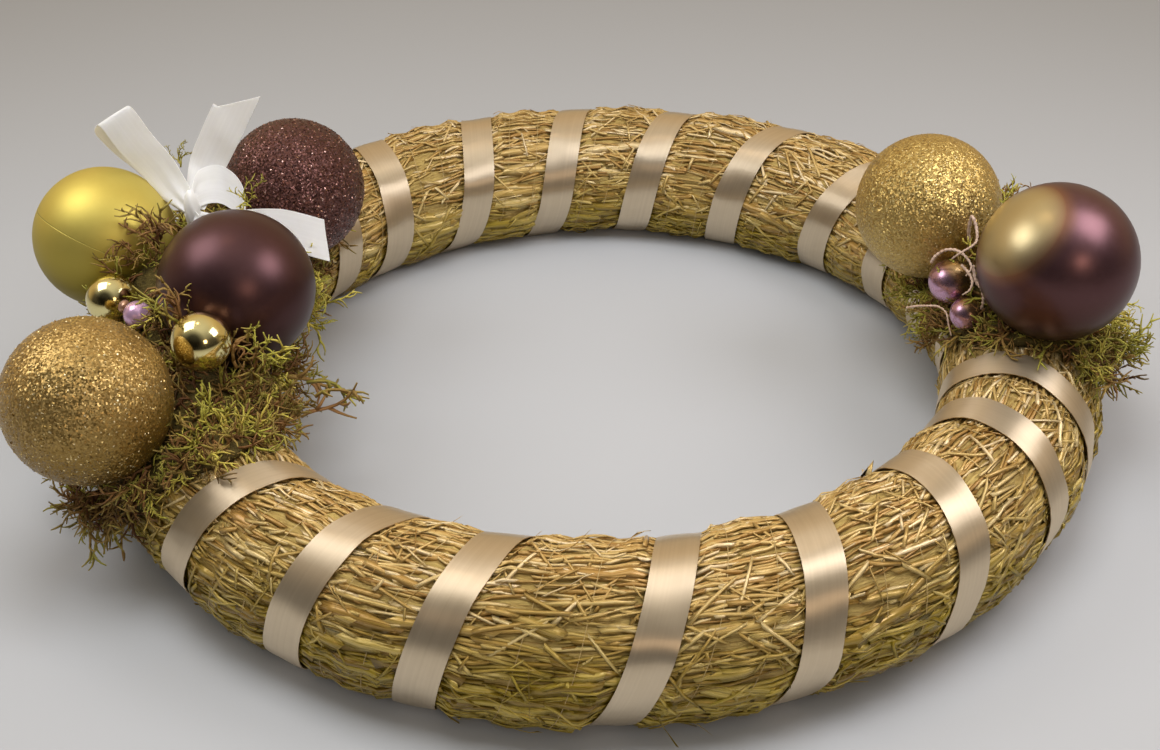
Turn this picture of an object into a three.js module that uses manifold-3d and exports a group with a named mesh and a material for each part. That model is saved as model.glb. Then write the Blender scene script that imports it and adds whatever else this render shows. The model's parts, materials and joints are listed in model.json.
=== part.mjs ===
// A straw wreath, lying flat: a bound straw ring wound with satin ribbon, and two posies of baubles
// bedded in moss, the left one with a white satin bow. Millimetres, +Z up.
//
// Places on the ring are given as two angles: "along" runs round the ring, anticlockwise from +X seen
// from above, and "around" runs round the tube, 0 at the outside, 90 on the crown, 180 at the inside.

import * as THREE from "three";
import { mergeVertices } from "three/addons/utils/BufferGeometryUtils.js";
import Module from "manifold-3d";

const wasm = await Module();
wasm.setup();

// ---- driving dimensions -------------------------------------------------------------------------

const RING_RADIUS = 172; // to the middle of the tube
const TUBE_RADIUS = 31; // of the bound straw, on average
const TUBE_HEIGHT = 28; // of the tube's middle over the table: the straw is pressed flat below
const BED_RADIUS = 30; // under the ribbon, which is drawn tight
const CREST_RADIUS = 32.2; // between two turns, where the straw swells out
const SWELL = 0.2; // share of the gap between two turns that the straw takes to swell
const BED_FLOOR = 1.4; // the ribbon's bed stays this far off the table
const STEPS_AROUND = 14;

const RIBBON_WIDTH = 16;
const RIBBON_THICKNESS = 0.5;
const GAP = 0.35; // between pieces that touch
const RIBBON_TRIM = 0.8; // the ribbon is narrower than its bed by this

// Where each turn of the hand-wound ribbon crosses the crown, in degrees along the ring.
const TURNS = [
  157, 174, 191, 209, 226, 242, 257, 278, 294, 312, 327,
  339, 354, 369, 384, 399, 419, 437, 454, 470, 488, 500,
];
const FIRST_TURN = 1; // the ribbon starts and ends on this turn's crown, under the moss
const RIBBON_END_GAP = 1 / 64; // of a turn

const MOSS_CLEARANCE = 1.2; // over the crests of the straw
const MOSS_EDGE = 2.5; // thickness at the rim of a patch
const MOSS_CORNER = 0.4; // how far a patch's corners are drawn in: 0 is square, 1 is an oval
// Each patch spans these angles, and is heaped up between its baubles; spread is in degrees too.
const MOSS_PATCHES = [
  {
    name: "moss_left",
    along: [139, 221],
    around: [-22, 178],
    thickness: 10,
    cells: [15, 12],
    heaps: [
      { along: 184, around: 86, height: 20, spread: [9, 24] },
      { along: 208, around: 100, height: 6, spread: [6, 16] },
      { along: 202, around: 148, height: 9, spread: [14, 20] },
      { along: 212, around: 20, height: 7, spread: [6, 18] },
    ],
  },
  {
    name: "moss_right",
    along: [-17, 25],
    around: [4, 156],
    thickness: 9,
    cells: [9, 10],
    heaps: [{ along: -3, around: 103, height: 18, spread: [5, 16] }],
  },
];

const NEST_CLEARANCE = 0.4; // between a ball and the moss that it sits in
const BALLS = [
  { name: "glitter_ball_left", diameter: 60, along: 210.8, around: 54.3, lift: 2, finish: "goldGlitter" },
  { name: "lime_ball", diameter: 57, along: 178, around: 62.5, lift: 2, finish: "lime" },
  { name: "plum_ball_left", diameter: 60, along: 195.6, around: 116.8, lift: 2, finish: "plum" },
  { name: "brown_glitter_ball", diameter: 60, along: 158.9, around: 121.6, lift: 2, finish: "brownGlitter" },
  { name: "glitter_ball_right", diameter: 60, along: 9.9, around: 120.9, lift: 2, finish: "goldGlitter" },
  { name: "plum_ball_right", diameter: 60, along: 347.4, around: 84, lift: 2, finish: "plum" },
  { name: "gold_bead_inner", diameter: 22, along: 208.9, around: 98.2, lift: 16.3, finish: "gold" },
  { name: "gold_bead_outer", diameter: 20, along: 189, around: 67, lift: 10.2, finish: "gold" },
  { name: "lilac_bead", diameter: 11, along: 192.7, around: 77.5, lift: 10.3, finish: "lilac" },
  { name: "mauve_bead", diameter: 18, along: 354.9, around: 126.9, lift: 9.2, finish: "mauve" },
  { name: "mauve_bead_small", diameter: 13, along: 348.8, around: 125.1, lift: 4, finish: "mauve" },
];
const BIG_BALL = 50; // diameter from which a ball gets the finer facets

const BOW_THICKNESS = 0.9;
const PINCHED = 8; // width of the ribbon where the knot gathers it
const KNOT = { at: [-164, 9, 95], size: [8, 10, 16] };
const STEM = { at: [-164, 10], radius: 3.5, foot: 73, top: 92 }; // the gathered ends, down in the moss
const SOCKET_CLEARANCE = 0.6; // between the stem and the moss
// Each strip of the bow: points along its middle, its width at each point, the way its width runs,
// and how much longer one edge is than the other where the end is cut on the slant.
const BOW_STRIPS = [
  {
    // the large loop, up and to the left, folded flat at its tip
    points: [
      [-164, 9, 94], [-171, 14, 100], [-177, 17, 109], [-184.5, 19, 118.5], [-192, 21.5, 129.5],
      [-195, 24, 125.5], [-190.5, 26, 116], [-182, 24.5, 107.5], [-173, 19, 99.5], [-164.5, 11, 93],
    ],
    widths: [PINCHED, 10.5, 12.5, 15.5, 16, 16, 15, 12, 10, PINCHED],
    across: [0.86, 0, 0.5],
    slant: 0,
    steps: 16,
  },
  {
    // the tail that stands up
    points: [[-163, 13, 93], [-162, 20, 98], [-159.5, 25, 104.5], [-152, 26, 118], [-144, 27, 132]],
    widths: [PINCHED, 12, 15, 16, 16],
    across: [0.85, -0.25, -0.4],
    slant: 11,
    steps: 8,
  },
  {
    // the small loop, open at the top
    points: [
      [-163.5, 8, 95], [-161.5, 15, 98.5], [-153.5, 17.5, 99], [-146, 14, 95.5], [-142.5, 8.5, 91],
      [-147, 1, 89.5], [-155.5, -1, 90.5], [-162, 4, 92.5],
    ],
    widths: [PINCHED, 13, 15, 15, 14, 13, 12, PINCHED],
    across: [0, 0.45, 0.89],
    slant: 0,
    steps: 14,
  },
  {
    // the tail that lies down to the right
    points: [[-162, 9, 92], [-152, 8, 90], [-142, 6, 88.8], [-128, 5, 86.4], [-109.5, 3, 81.7]],
    widths: [PINCHED, 11, 14.5, 16, 16],
    across: [0.2, 0.25, 0.95],
    slant: -5,
    steps: 8,
  },
];

const COLOURS = {
  straw: { color: 0xc9a64e, roughness: 0.45, metalness: 0 },
  champagne: { color: 0xc8ad86, roughness: 0.35, metalness: 0 },
  white: { color: 0xe9e6df, roughness: 0.4, metalness: 0 },
  moss: { color: 0x6f6a2c, roughness: 0.95, metalness: 0 },
  goldGlitter: { color: 0xb88d3c, roughness: 0.5, metalness: 0.7 },
  brownGlitter: { color: 0x4a2c28, roughness: 0.5, metalness: 0.6 },
  lime: { color: 0xb5a52e, roughness: 0.35, metalness: 0.6 },
  plum: { color: 0x4a2b33, roughness: 0.35, metalness: 0.7 },
  gold: { color: 0xd8c35a, roughness: 0.08, metalness: 1 },
  lilac: { color: 0xa57fa8, roughness: 0.15, metalness: 0.9 },
  mauve: { color: 0x9c6f63, roughness: 0.1, metalness: 1 },
};

// ---- helpers ------------------------------------------------------------------------------------

const radians = THREE.MathUtils.degToRad;
const lerp = THREE.MathUtils.lerp;

// A point on the ring: radius is measured from the middle of the tube, and nothing sinks below floor.
function ringPoint(along, around, radius, floor = -Infinity) {
  const out = RING_RADIUS + radius * Math.cos(radians(around));
  const up = TUBE_HEIGHT + radius * Math.sin(radians(around));
  return [out * Math.cos(radians(along)), out * Math.sin(radians(along)), Math.max(up, floor)];
}

// The angle along the ring that a given width takes up at this place round the tube.
function angleOf(width, around) {
  return THREE.MathUtils.radToDeg(width / (RING_RADIUS + TUBE_RADIUS * Math.cos(radians(around))));
}

// Where the ribbon's middle is after a number of turns, counted from the first turn's crown.
function crown(turn) {
  const lap = Math.floor(turn / TURNS.length);
  return TURNS[turn - lap * TURNS.length] + 360 * lap;
}

function ribbonMiddle(turns) {
  const k = Math.floor(turns);
  const t = turns - k;
  const [a, b, c, d] = [crown(k - 1), crown(k), crown(k + 1), crown(k + 2)];
  const leave = ((c - a) / 2) * t * (1 - t) ** 2;
  const arrive = ((d - b) / 2) * t * t * (1 - t);
  return lerp(b, c, t * t * (3 - 2 * t)) + leave - arrive;
}

function geometryOf(positions, triangles) {
  const geometry = new THREE.BufferGeometry();
  geometry.setAttribute("position", new THREE.Float32BufferAttribute(positions.flat(), 3));
  geometry.setIndex(triangles.flat());
  return geometry;
}

// A closed sheet of ni by nj cells: point(i, j, layer) gives its inner face at layer 0 and its outer
// face at layer 1, and i, j and outwards make a right-handed set.
function slab(ni, nj, point) {
  const positions = [];
  const triangles = [];
  for (const layer of [0, 1])
    for (let i = 0; i <= ni; i++)
      for (let j = 0; j <= nj; j++) positions.push(point(i, j, layer));
  const id = (i, j, layer) => (layer * (ni + 1) + i) * (nj + 1) + j;
  const quad = (a, b, c, d) => triangles.push([a, b, c], [a, c, d]);
  for (let i = 0; i < ni; i++)
    for (let j = 0; j < nj; j++) {
      quad(id(i, j, 1), id(i + 1, j, 1), id(i + 1, j + 1, 1), id(i, j + 1, 1));
      quad(id(i, j, 0), id(i, j + 1, 0), id(i + 1, j + 1, 0), id(i + 1, j, 0));
    }
  for (let i = 0; i < ni; i++) {
    quad(id(i, 0, 0), id(i + 1, 0, 0), id(i + 1, 0, 1), id(i, 0, 1));
    quad(id(i, nj, 1), id(i + 1, nj, 1), id(i + 1, nj, 0), id(i, nj, 0));
  }
  for (let j = 0; j < nj; j++) {
    quad(id(0, j, 1), id(0, j + 1, 1), id(0, j + 1, 0), id(0, j, 0));
    quad(id(ni, j, 0), id(ni, j + 1, 0), id(ni, j + 1, 1), id(ni, j, 1));
  }
  return geometryOf(positions, triangles);
}

function solidOf(geometry) {
  const bare = geometry.clone();
  for (const name of ["normal", "uv"]) bare.deleteAttribute(name);
  const merged = mergeVertices(bare);
  return new wasm.Manifold(
    new wasm.Mesh({
      numProp: 3,
      vertProperties: merged.attributes.position.array,
      triVerts: new Uint32Array(merged.index.array),
    }),
  );
}

function geometryOfSolid(solid) {
  const mesh = solid.getMesh();
  const geometry = new THREE.BufferGeometry();
  geometry.setAttribute("position", new THREE.BufferAttribute(mesh.vertProperties, 3));
  geometry.setIndex(new THREE.BufferAttribute(mesh.triVerts, 1));
  return geometry;
}

function piece(name, geometry, finish) {
  const mesh = new THREE.Mesh(geometry, new THREE.MeshStandardMaterial(COLOURS[finish]));
  mesh.name = name;
  return mesh;
}

// ---- the straw ring -----------------------------------------------------------------------------

// The straw's surface across one turn of the ribbon, at one place round the tube: the two edges of
// the ribbon's bed, and the two edges of the swell before the next turn.
function acrossOneTurn(turn, around) {
  const turns = turn + (around - 90) / 360;
  const half = angleOf(RIBBON_WIDTH / 2, around);
  const leaves = ribbonMiddle(turns) + half;
  const meets = ribbonMiddle(turns + 1) - half;
  return [
    ringPoint(leaves - 2 * half, around, BED_RADIUS, BED_FLOOR),
    ringPoint(leaves, around, BED_RADIUS, BED_FLOOR),
    ringPoint(lerp(leaves, meets, SWELL), around, CREST_RADIUS, 0),
    ringPoint(lerp(meets, leaves, SWELL), around, CREST_RADIUS, 0),
  ];
}

// The grid follows the ribbon, so a line round the tube comes back one turn further on.
function strawRing() {
  const positions = [];
  const triangles = [];
  for (let turn = 0; turn < TURNS.length; turn++)
    for (let step = 0; step < STEPS_AROUND; step++)
      positions.push(...acrossOneTurn(turn, -90 + (360 * step) / STEPS_AROUND));
  const columns = positions.length / (TURNS.length * STEPS_AROUND);
  const id = (turn, column, step) => {
    const t = turn + Math.floor(column / columns) + Math.floor(step / STEPS_AROUND);
    return ((t % TURNS.length) * STEPS_AROUND + (step % STEPS_AROUND)) * columns + (column % columns);
  };
  for (let turn = 0; turn < TURNS.length; turn++)
    for (let column = 0; column < columns; column++)
      for (let step = 0; step < STEPS_AROUND; step++) {
        const a = id(turn, column, step);
        const c = id(turn, column + 1, step + 1);
        triangles.push([a, id(turn, column + 1, step), c], [a, c, id(turn, column, step + 1)]);
      }
  return geometryOf(positions, triangles);
}

// ---- the ribbon ---------------------------------------------------------------------------------

function woundRibbon() {
  const stops = [FIRST_TURN + RIBBON_END_GAP];
  for (let s = 1; s < TURNS.length * STEPS_AROUND; s++) stops.push(FIRST_TURN + s / STEPS_AROUND);
  stops.push(FIRST_TURN + TURNS.length - RIBBON_END_GAP);
  return slab(1, stops.length - 1, (side, stop, layer) => {
    const around = 90 + 360 * stops[stop];
    const half = angleOf((RIBBON_WIDTH - RIBBON_TRIM) / 2, around);
    const under = GAP + RIBBON_THICKNESS * layer;
    const along = ribbonMiddle(stops[stop]) + half * (2 * side - 1);
    return ringPoint(along, around, BED_RADIUS + under, BED_FLOOR - under);
  });
}

// ---- baubles ------------------------------------------------------------------------------------

function ballGeometry({ diameter }, clearance = 0) {
  const [across, down] = diameter > BIG_BALL ? [14, 9] : [9, 6];
  return new THREE.SphereGeometry(diameter / 2 + clearance, across, down);
}

function ballCentre({ along, around, lift, diameter }) {
  return new THREE.Vector3(...ringPoint(along, around, TUBE_RADIUS + lift + diameter / 2));
}

function bauble(ball) {
  const mesh = piece(ball.name, ballGeometry(ball), ball.finish);
  mesh.position.copy(ballCentre(ball));
  return mesh;
}

// ---- moss ---------------------------------------------------------------------------------------

// Where a cell's corner lands on the tube: the patch's own corners are drawn in and its rim is ragged.
function mossPlace(patch, x, y) {
  const ragged = 1 + 0.03 * Math.sin(7 * x + 5 * y) * Math.max(Math.abs(x), Math.abs(y)) ** 4;
  const reach = (t, other) => 0.5 + 0.5 * t * Math.sqrt(1 - MOSS_CORNER * other * other) * ragged;
  return [lerp(...patch.along, reach(x, y)), lerp(...patch.around, reach(y, x))];
}

function mossThickness(patch, x, y, along, around) {
  const dome = ((1 - x * x) * (1 - y * y)) ** 0.4;
  const lumps = 0.9 + 0.12 * Math.sin(10 * x + 2 * y) + 0.1 * Math.cos(8 * y - 4 * x);
  const heaps = patch.heaps.map((heap) => {
    const [near, far] = [(along - heap.along) / heap.spread[0], (around - heap.around) / heap.spread[1]];
    return heap.height * Math.exp(-near * near - far * far);
  });
  const full = (patch.thickness - MOSS_EDGE) * lumps + heaps.reduce((sum, height) => sum + height);
  return MOSS_EDGE + full * dome;
}

function mossPatch(patch) {
  const [ni, nj] = patch.cells;
  const sheet = slab(ni, nj, (i, j, layer) => {
    const [x, y] = [(2 * i) / ni - 1, (2 * j) / nj - 1];
    const [along, around] = mossPlace(patch, x, y);
    const thickness = mossThickness(patch, x, y, along, around) * layer;
    return ringPoint(along, around, CREST_RADIUS + MOSS_CLEARANCE + thickness);
  });
  const nests = BALLS.map((ball) =>
    solidOf(ballGeometry(ball, NEST_CLEARANCE)).translate(ballCentre(ball).toArray()),
  );
  const hollows = [...nests, solidOf(stemGeometry(SOCKET_CLEARANCE))];
  const nested = hollows.reduce((moss, hollow) => moss.subtract(hollow), solidOf(sheet));
  return piece(patch.name, geometryOfSolid(nested), "moss");
}

// ---- the bow ------------------------------------------------------------------------------------

function bowStrip({ points, widths, across, slant, steps }) {
  const curve = new THREE.CatmullRomCurve3(points.map((p) => new THREE.Vector3(...p)), false, "centripetal");
  const side = new THREE.Vector3(...across).normalize();
  return slab(1, steps, (edge, step, layer) => {
    const place = (step / steps) * (widths.length - 1);
    const k = Math.min(Math.floor(place), widths.length - 2);
    const width = lerp(widths[k], widths[k + 1], place - k);
    const tangent = curve.getTangent(step / steps);
    const outwards = side.clone().cross(tangent).normalize();
    return curve
      .getPoint(step / steps)
      .addScaledVector(side, width * (edge - 0.5))
      .addScaledVector(outwards, BOW_THICKNESS * (layer - 0.5))
      .addScaledVector(tangent, step === steps ? slant * (edge - 0.5) : 0)
      .toArray();
  });
}

function stemGeometry(clearance = 0) {
  const height = STEM.top - STEM.foot + clearance;
  return new THREE.CylinderGeometry(STEM.radius + clearance, STEM.radius + clearance, height, 8)
    .rotateX(Math.PI / 2)
    .translate(...STEM.at, STEM.top - height / 2);
}

function bow() {
  const knot = new THREE.SphereGeometry(0.5, 10, 7).scale(...KNOT.size).translate(...KNOT.at);
  const core = solidOf(knot).add(solidOf(stemGeometry()));
  const tied = BOW_STRIPS.reduce((all, strip) => all.add(solidOf(bowStrip(strip))), core);
  return piece("bow", geometryOfSolid(tied), "white");
}

// ---- the wreath ---------------------------------------------------------------------------------

const wreath = new THREE.Group();
wreath.add(piece("straw_ring", strawRing(), "straw"));
wreath.add(piece("satin_ribbon", woundRibbon(), "champagne"));
wreath.add(...MOSS_PATCHES.map(mossPatch));
wreath.add(...BALLS.map(bauble));
wreath.add(bow());

// The part's origin is under the middle of its box.
const box = new THREE.Box3().setFromObject(wreath, true);
const middle = box.getCenter(new THREE.Vector3());
wreath.position.set(-middle.x, -middle.y, -box.min.z);

export default wreath;
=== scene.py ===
"""Dresses the straw wreath: bound straw, wound satin ribbon, beds of moss, baubles, beads and a bow.

Everything is in metres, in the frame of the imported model, with +Z up. A place on the ring is two angles in
degrees: "along" runs round the ring, anticlockwise from +X seen from above, and "around" runs round the tube,
0 at the outside, 90 on the crown, 180 at the inside.
"""

import json
import math

import bmesh
import bpy
import numpy as np
from mathutils import Matrix, Vector, noise

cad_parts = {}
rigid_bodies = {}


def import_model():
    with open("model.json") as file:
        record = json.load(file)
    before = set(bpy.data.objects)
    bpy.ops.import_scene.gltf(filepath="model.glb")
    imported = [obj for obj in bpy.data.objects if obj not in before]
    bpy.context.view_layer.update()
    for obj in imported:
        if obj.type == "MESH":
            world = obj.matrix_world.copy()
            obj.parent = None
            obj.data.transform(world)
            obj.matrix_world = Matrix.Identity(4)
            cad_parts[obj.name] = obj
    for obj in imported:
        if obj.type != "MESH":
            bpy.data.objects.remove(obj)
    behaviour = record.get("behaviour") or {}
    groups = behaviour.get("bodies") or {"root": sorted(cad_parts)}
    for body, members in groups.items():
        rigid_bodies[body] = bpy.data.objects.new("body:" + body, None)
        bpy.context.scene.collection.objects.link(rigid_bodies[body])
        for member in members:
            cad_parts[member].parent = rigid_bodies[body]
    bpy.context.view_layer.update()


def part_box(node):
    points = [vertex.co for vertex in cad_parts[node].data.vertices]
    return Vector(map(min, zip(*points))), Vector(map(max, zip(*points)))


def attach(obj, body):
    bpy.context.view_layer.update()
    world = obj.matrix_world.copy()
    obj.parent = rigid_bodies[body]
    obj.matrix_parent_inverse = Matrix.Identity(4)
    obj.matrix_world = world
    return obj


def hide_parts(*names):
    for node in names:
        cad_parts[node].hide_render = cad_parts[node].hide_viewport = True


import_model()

MM = 0.001

# ---- sizes and places -----------------------------------------------------------------------------------

ring_low, ring_high = (Vector(corner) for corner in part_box("straw_ring"))
RING_CENTRE = Vector(((ring_low.x + ring_high.x) / 2, (ring_low.y + ring_high.y) / 2, 0))
TUBE_RADIUS = 31.1 * MM  # of the bound straw, on average
RING_RADIUS = (ring_high.y - ring_low.y) / 2 - TUBE_RADIUS  # to the middle of the tube
TUBE_HEIGHT = 28 * MM  # of the tube's middle over the table

RIBBON_WIDTH = 15.4 * MM
RIBBON_THICKNESS = 0.28 * MM
RIBBON_RADIUS = 30.5 * MM  # of the ribbon's underside, from the middle of the tube
# Where each turn of the hand-wound ribbon crosses the crown, in degrees along the ring.
TURNS = [
    157, 174, 191, 209, 226, 242, 257, 278, 294, 312, 327,
    339, 354, 369, 384, 399, 419, 437, 454, 470, 488, 500,
]
FIRST_TURN = 1  # the ribbon starts and ends on this turn's crown, under the moss
RIBBON_LENGTH = 4.42

CORE_BED = 28.0 * MM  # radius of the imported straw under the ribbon
CORE_CREST = 30.4 * MM  # and where it swells out between two turns
SWELL_WIDTH = 4.5 * MM
THREADS = (0.36, 0.66)  # places of the binding threads, as shares of the way from one turn to the next
PINCH_WIDTH = 4 * MM
PINCH_DEPTH = 0.9 * MM
LUMPS = 0.6 * MM
PRESSED = 0.45  # share of its height that straw keeps under the ribbon or a thread
LOW_STRAW = 26 * MM  # below this height the broad blades lie closest
LOW_STRAW_BLEND = 14 * MM  # and over this much above it they thin out
UNSEEN = -0.75  # the least upward slope at which straw is laid: none underneath
CORE_COLUMNS = 16  # from one turn of the ribbon to the next
CORE_STEPS = 48  # round the tube
FLOOR_CLEARANCE = 0.25 * MM
LIME_POLE = (0.449, 0.351, 0.822)  # of the lime ball's mould, at right angles to its seam
PLUM_GOLD_SIDE = (-0.73, -0.15, 0.67)  # the way that the gold cap of the right plum ball faces
BEAD_GOLD_SIDE = (0.75, 0.1, 0.65)

# Each bauble's and bead's slot, and the finish of its skin.
BAUBLES = {
    "glitter_ball_left": ("gold_glitter", "fine_gold"),
    "lime_ball": ("lime_satin", "lime"),
    "plum_ball_left": ("plum_satin", "plum"),
    "brown_glitter_ball": ("brown_glitter", "brown"),
    "glitter_ball_right": ("gold_glitter", "coarse_gold"),
    "plum_ball_right": ("plum_satin", "plum_and_gold"),
    "gold_bead_inner": ("gold_mirror", "gold_mirror"),
    "gold_bead_outer": ("gold_mirror", "gold_mirror"),
    "lilac_bead": ("lilac_pearl", "lilac"),
    "mauve_bead": ("mauve_mirror", "mauve_and_gold"),
    "mauve_bead_small": ("mauve_mirror", "mauve_and_gold"),
}


def ball_place(node):
    """Centre and radius of a bauble or bead, from its box: its poles lie along Y."""
    low, high = (Vector(corner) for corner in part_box(node))
    return (low + high) / 2, (high.y - low.y) / 2


BALLS = {node: ball_place(node) for node in BAUBLES}


def ring_points(along, around, radius):
    """Points on the ring, as an array: radius is measured from the middle of the tube."""
    along, around = np.radians(along), np.radians(around)
    out = RING_RADIUS + radius * np.cos(around)
    up = TUBE_HEIGHT + radius * np.sin(around) + 0 * along
    return np.stack([RING_CENTRE.x + out * np.cos(along), RING_CENTRE.y + out * np.sin(along), up], -1)


def outward_way(along, around):
    """The way straight out of the tube, as unit vectors."""
    return ring_points(along, around, 1.0) - ring_points(along, around, 0.0)


def crown(turn):
    """Angle along the ring at which a turn crosses the crown."""
    turn = np.asarray(turn)
    return np.array(TURNS)[turn % len(TURNS)] + 360 * (turn // len(TURNS))


def ribbon_middle(turns):
    """Angle along the ring of the ribbon's middle, after a number of turns from the first crown."""
    k = np.floor(turns).astype(int)
    t = turns - k
    a, b, c, d = (crown(k + step) for step in (-1, 0, 1, 2))
    leave = (c - a) / 2 * t * (1 - t) ** 2
    arrive = (d - b) / 2 * t * t * (1 - t)
    return b + (c - b) * t * t * (3 - 2 * t) + leave - arrive


def from_ring(point):
    """A point given in millimetres from under the ring's middle, in the part's frame."""
    return np.array(RING_CENTRE) + np.array(point, float) * MM


def smooth_step(t):
    t = np.clip(t, 0, 1)
    return t * t * (3 - 2 * t)


def raise_to(points, height):
    """Moves the points that are lower up to a height."""
    points[..., 2] = np.maximum(points[..., 2], height)


def step_lengths(path):
    return np.linalg.norm(np.diff(path, axis=0), axis=1)


def run_of(steps):
    """Distances from the start of a path, from the lengths of its steps."""
    return np.concatenate([[0], np.cumsum(steps)])


# ---- meshes ---------------------------------------------------------------------------------------------


def linked(name, data):
    """A new object in the scene."""
    obj = bpy.data.objects.new(name, data)
    bpy.context.scene.collection.objects.link(obj)
    return obj


def mesh_object(name, vertices, faces, smooth=True):
    mesh = bpy.data.meshes.new(name)
    corners = faces.tolist() if isinstance(faces, np.ndarray) else faces
    mesh.from_pydata(np.asarray(vertices).reshape(-1, 3).tolist(), [], corners)
    mesh.validate()
    mesh.polygons.foreach_set("use_smooth", [smooth] * len(mesh.polygons))
    return linked(name, mesh)


def merged(name, parts):
    """One mesh object from several (vertices, faces) pairs."""
    vertices, faces, start = [], [], 0
    for points, polygons in parts:
        vertices.append(points)
        faces += [tuple(start + i for i in polygon) for polygon in polygons]
        start += len(points)
    return mesh_object(name, np.concatenate(vertices), faces)


def ball_faces(rings, columns):
    """Faces of a ball whose vertices are a pole, rings of columns, and the other pole."""

    def index(r, c):
        return 1 + r * columns + c % columns

    last = 1 + rings * columns
    faces = [(0, index(0, c), index(0, c + 1)) for c in range(columns)]
    faces += [
        (index(r, c), index(r + 1, c), index(r + 1, c + 1), index(r, c + 1))
        for r in range(rings - 1)
        for c in range(columns)
    ]
    return faces + [(last, index(rings - 1, c + 1), index(rings - 1, c)) for c in range(columns)]


def outward_faces(mesh):
    """Turns the faces of a closed mesh outwards."""
    work = bmesh.new()
    work.from_mesh(mesh)
    bmesh.ops.recalc_face_normals(work, faces=work.faces)
    work.to_mesh(mesh)
    work.free()


def points_of(mesh):
    flat = np.empty(len(mesh.vertices) * 3)
    mesh.vertices.foreach_get("co", flat)
    return flat.reshape(-1, 3)


def set_points(mesh, points):
    mesh.vertices.foreach_set("co", np.asarray(points).ravel())
    mesh.update()


def store(mesh, name, kind, values):
    """Writes one value for each vertex: kind is FLOAT or FLOAT_VECTOR."""
    attribute = mesh.attributes.new(name, kind, "POINT")
    field = "value" if kind == "FLOAT" else "vector"
    attribute.data.foreach_set(field, np.asarray(values, float).ravel())


def settle(obj):
    """Turns what the object's modifiers make into its plain mesh."""
    depsgraph = bpy.context.evaluated_depsgraph_get()
    mesh = bpy.data.meshes.new_from_object(obj.evaluated_get(depsgraph), depsgraph=depsgraph)
    obj.modifiers.clear()
    obj.data = mesh
    mesh.name = obj.name


def grown_on(base, name, tree, **values):
    """A copy of the base, turned into what a tree makes of it: it keeps what was said of the base."""
    piece = base.copy()
    piece.data = base.data.copy()
    piece.name = name
    bpy.context.scene.collection.objects.link(piece)
    run_tree(piece, tree, **values)
    settle(piece)
    return piece


def dispose(obj):
    bpy.data.objects.remove(obj)


def dress(obj, material):
    obj.data.materials.append(material)
    return obj


def hand_over(obj, slot, *nodes):
    """The finished piece rides on the wreath and stands for its CAD nodes; its slot is not used."""
    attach(obj, "root")
    if nodes:
        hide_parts(*nodes)


# ---- node trees -----------------------------------------------------------------------------------------


def feed(tree, socket, value):
    """Links a socket to another, or gives it a value: colours come without their alpha."""
    if isinstance(value, bpy.types.NodeSocket):
        tree.links.new(value, socket)
    elif socket.type == "RGBA":
        socket.default_value = (*value, 1.0)
    else:
        socket.default_value = value


def place(tree, kind, inputs=None, **settings):
    """Adds a node with these settings, and feeds its inputs, by name or number, from values or sockets."""
    node = tree.nodes.new(kind)
    for name, value in settings.items():
        setattr(node, name, value)
    for name, value in (inputs or {}).items():
        if isinstance(name, int):
            socket = node.inputs[name]
        else:
            socket = next(s for s in node.inputs if s.name == name and s.enabled and not s.is_unavailable)
        feed(tree, socket, value)
    return node


def out(node, name=None):
    """A node's output in use: the first one, or the one of this name."""
    return next(s for s in node.outputs if s.enabled and not s.is_unavailable and name in (None, s.name))


def maths(tree, operation, *values):
    return out(place(tree, "ShaderNodeMath", dict(enumerate(values)), operation=operation))


def product(tree, first, *others):
    for other in others:
        first = maths(tree, "MULTIPLY", first, other)
    return first


def vectors(tree, operation, *values, **by_name):
    inputs = {**dict(enumerate(values)), **by_name}
    return out(place(tree, "ShaderNodeVectorMath", inputs, operation=operation))


def measured(tree, operation, *values):
    """A number worked out from vectors, such as a length."""
    return out(place(tree, "ShaderNodeVectorMath", dict(enumerate(values)), operation=operation), "Value")


def axis_of(tree, vector, axis):
    return out(place(tree, "ShaderNodeSeparateXYZ", {0: vector}), axis)


def in_range(tree, value, low, high, to_low=0.0, to_high=1.0, **settings):
    """The value carried from one range to another, and kept within it."""
    inputs = {"Value": value, "From Min": low, "From Max": high, "To Min": to_low, "To Max": to_high}
    return out(place(tree, "ShaderNodeMapRange", inputs, **settings))


def new_tree(name, kind, inputs, outputs):
    """A node group with sockets {name: kind}, and its inputs and outputs as they are seen from inside."""
    tree = bpy.data.node_groups.new(name, kind)
    for in_out, sockets in (("INPUT", inputs), ("OUTPUT", outputs)):
        for socket_name, socket_kind in sockets.items():
            tree.interface.new_socket(socket_name, in_out=in_out, socket_type="NodeSocket" + socket_kind)
    return tree, tree.nodes.new("NodeGroupInput").outputs, tree.nodes.new("NodeGroupOutput").inputs


def as_key(name):
    """A socket's name as a name in this script."""
    return name.lower().replace(" ", "_")


def feed_by_key(tree, sockets, values, owner):
    """Feeds the sockets that the values name by their keys."""
    for socket in sockets:
        key = as_key(socket.name)
        if key in values:
            feed(tree, socket, values.pop(key))
    assert not values, f"{owner} has no inputs {sorted(values)}"


# ---- geometry trees -------------------------------------------------------------------------------------


def new_geometry_tree(name, things, numbers):
    """A tree that takes a surface, a seed, things {name: kind} and numbers, and gives a mesh."""
    inputs = {"Geometry": "Geometry", "Seed": "Int", **things, **dict.fromkeys(numbers, "Float")}
    return new_tree(name, "GeometryNodeTree", inputs, {"Geometry": "Geometry"})


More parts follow.
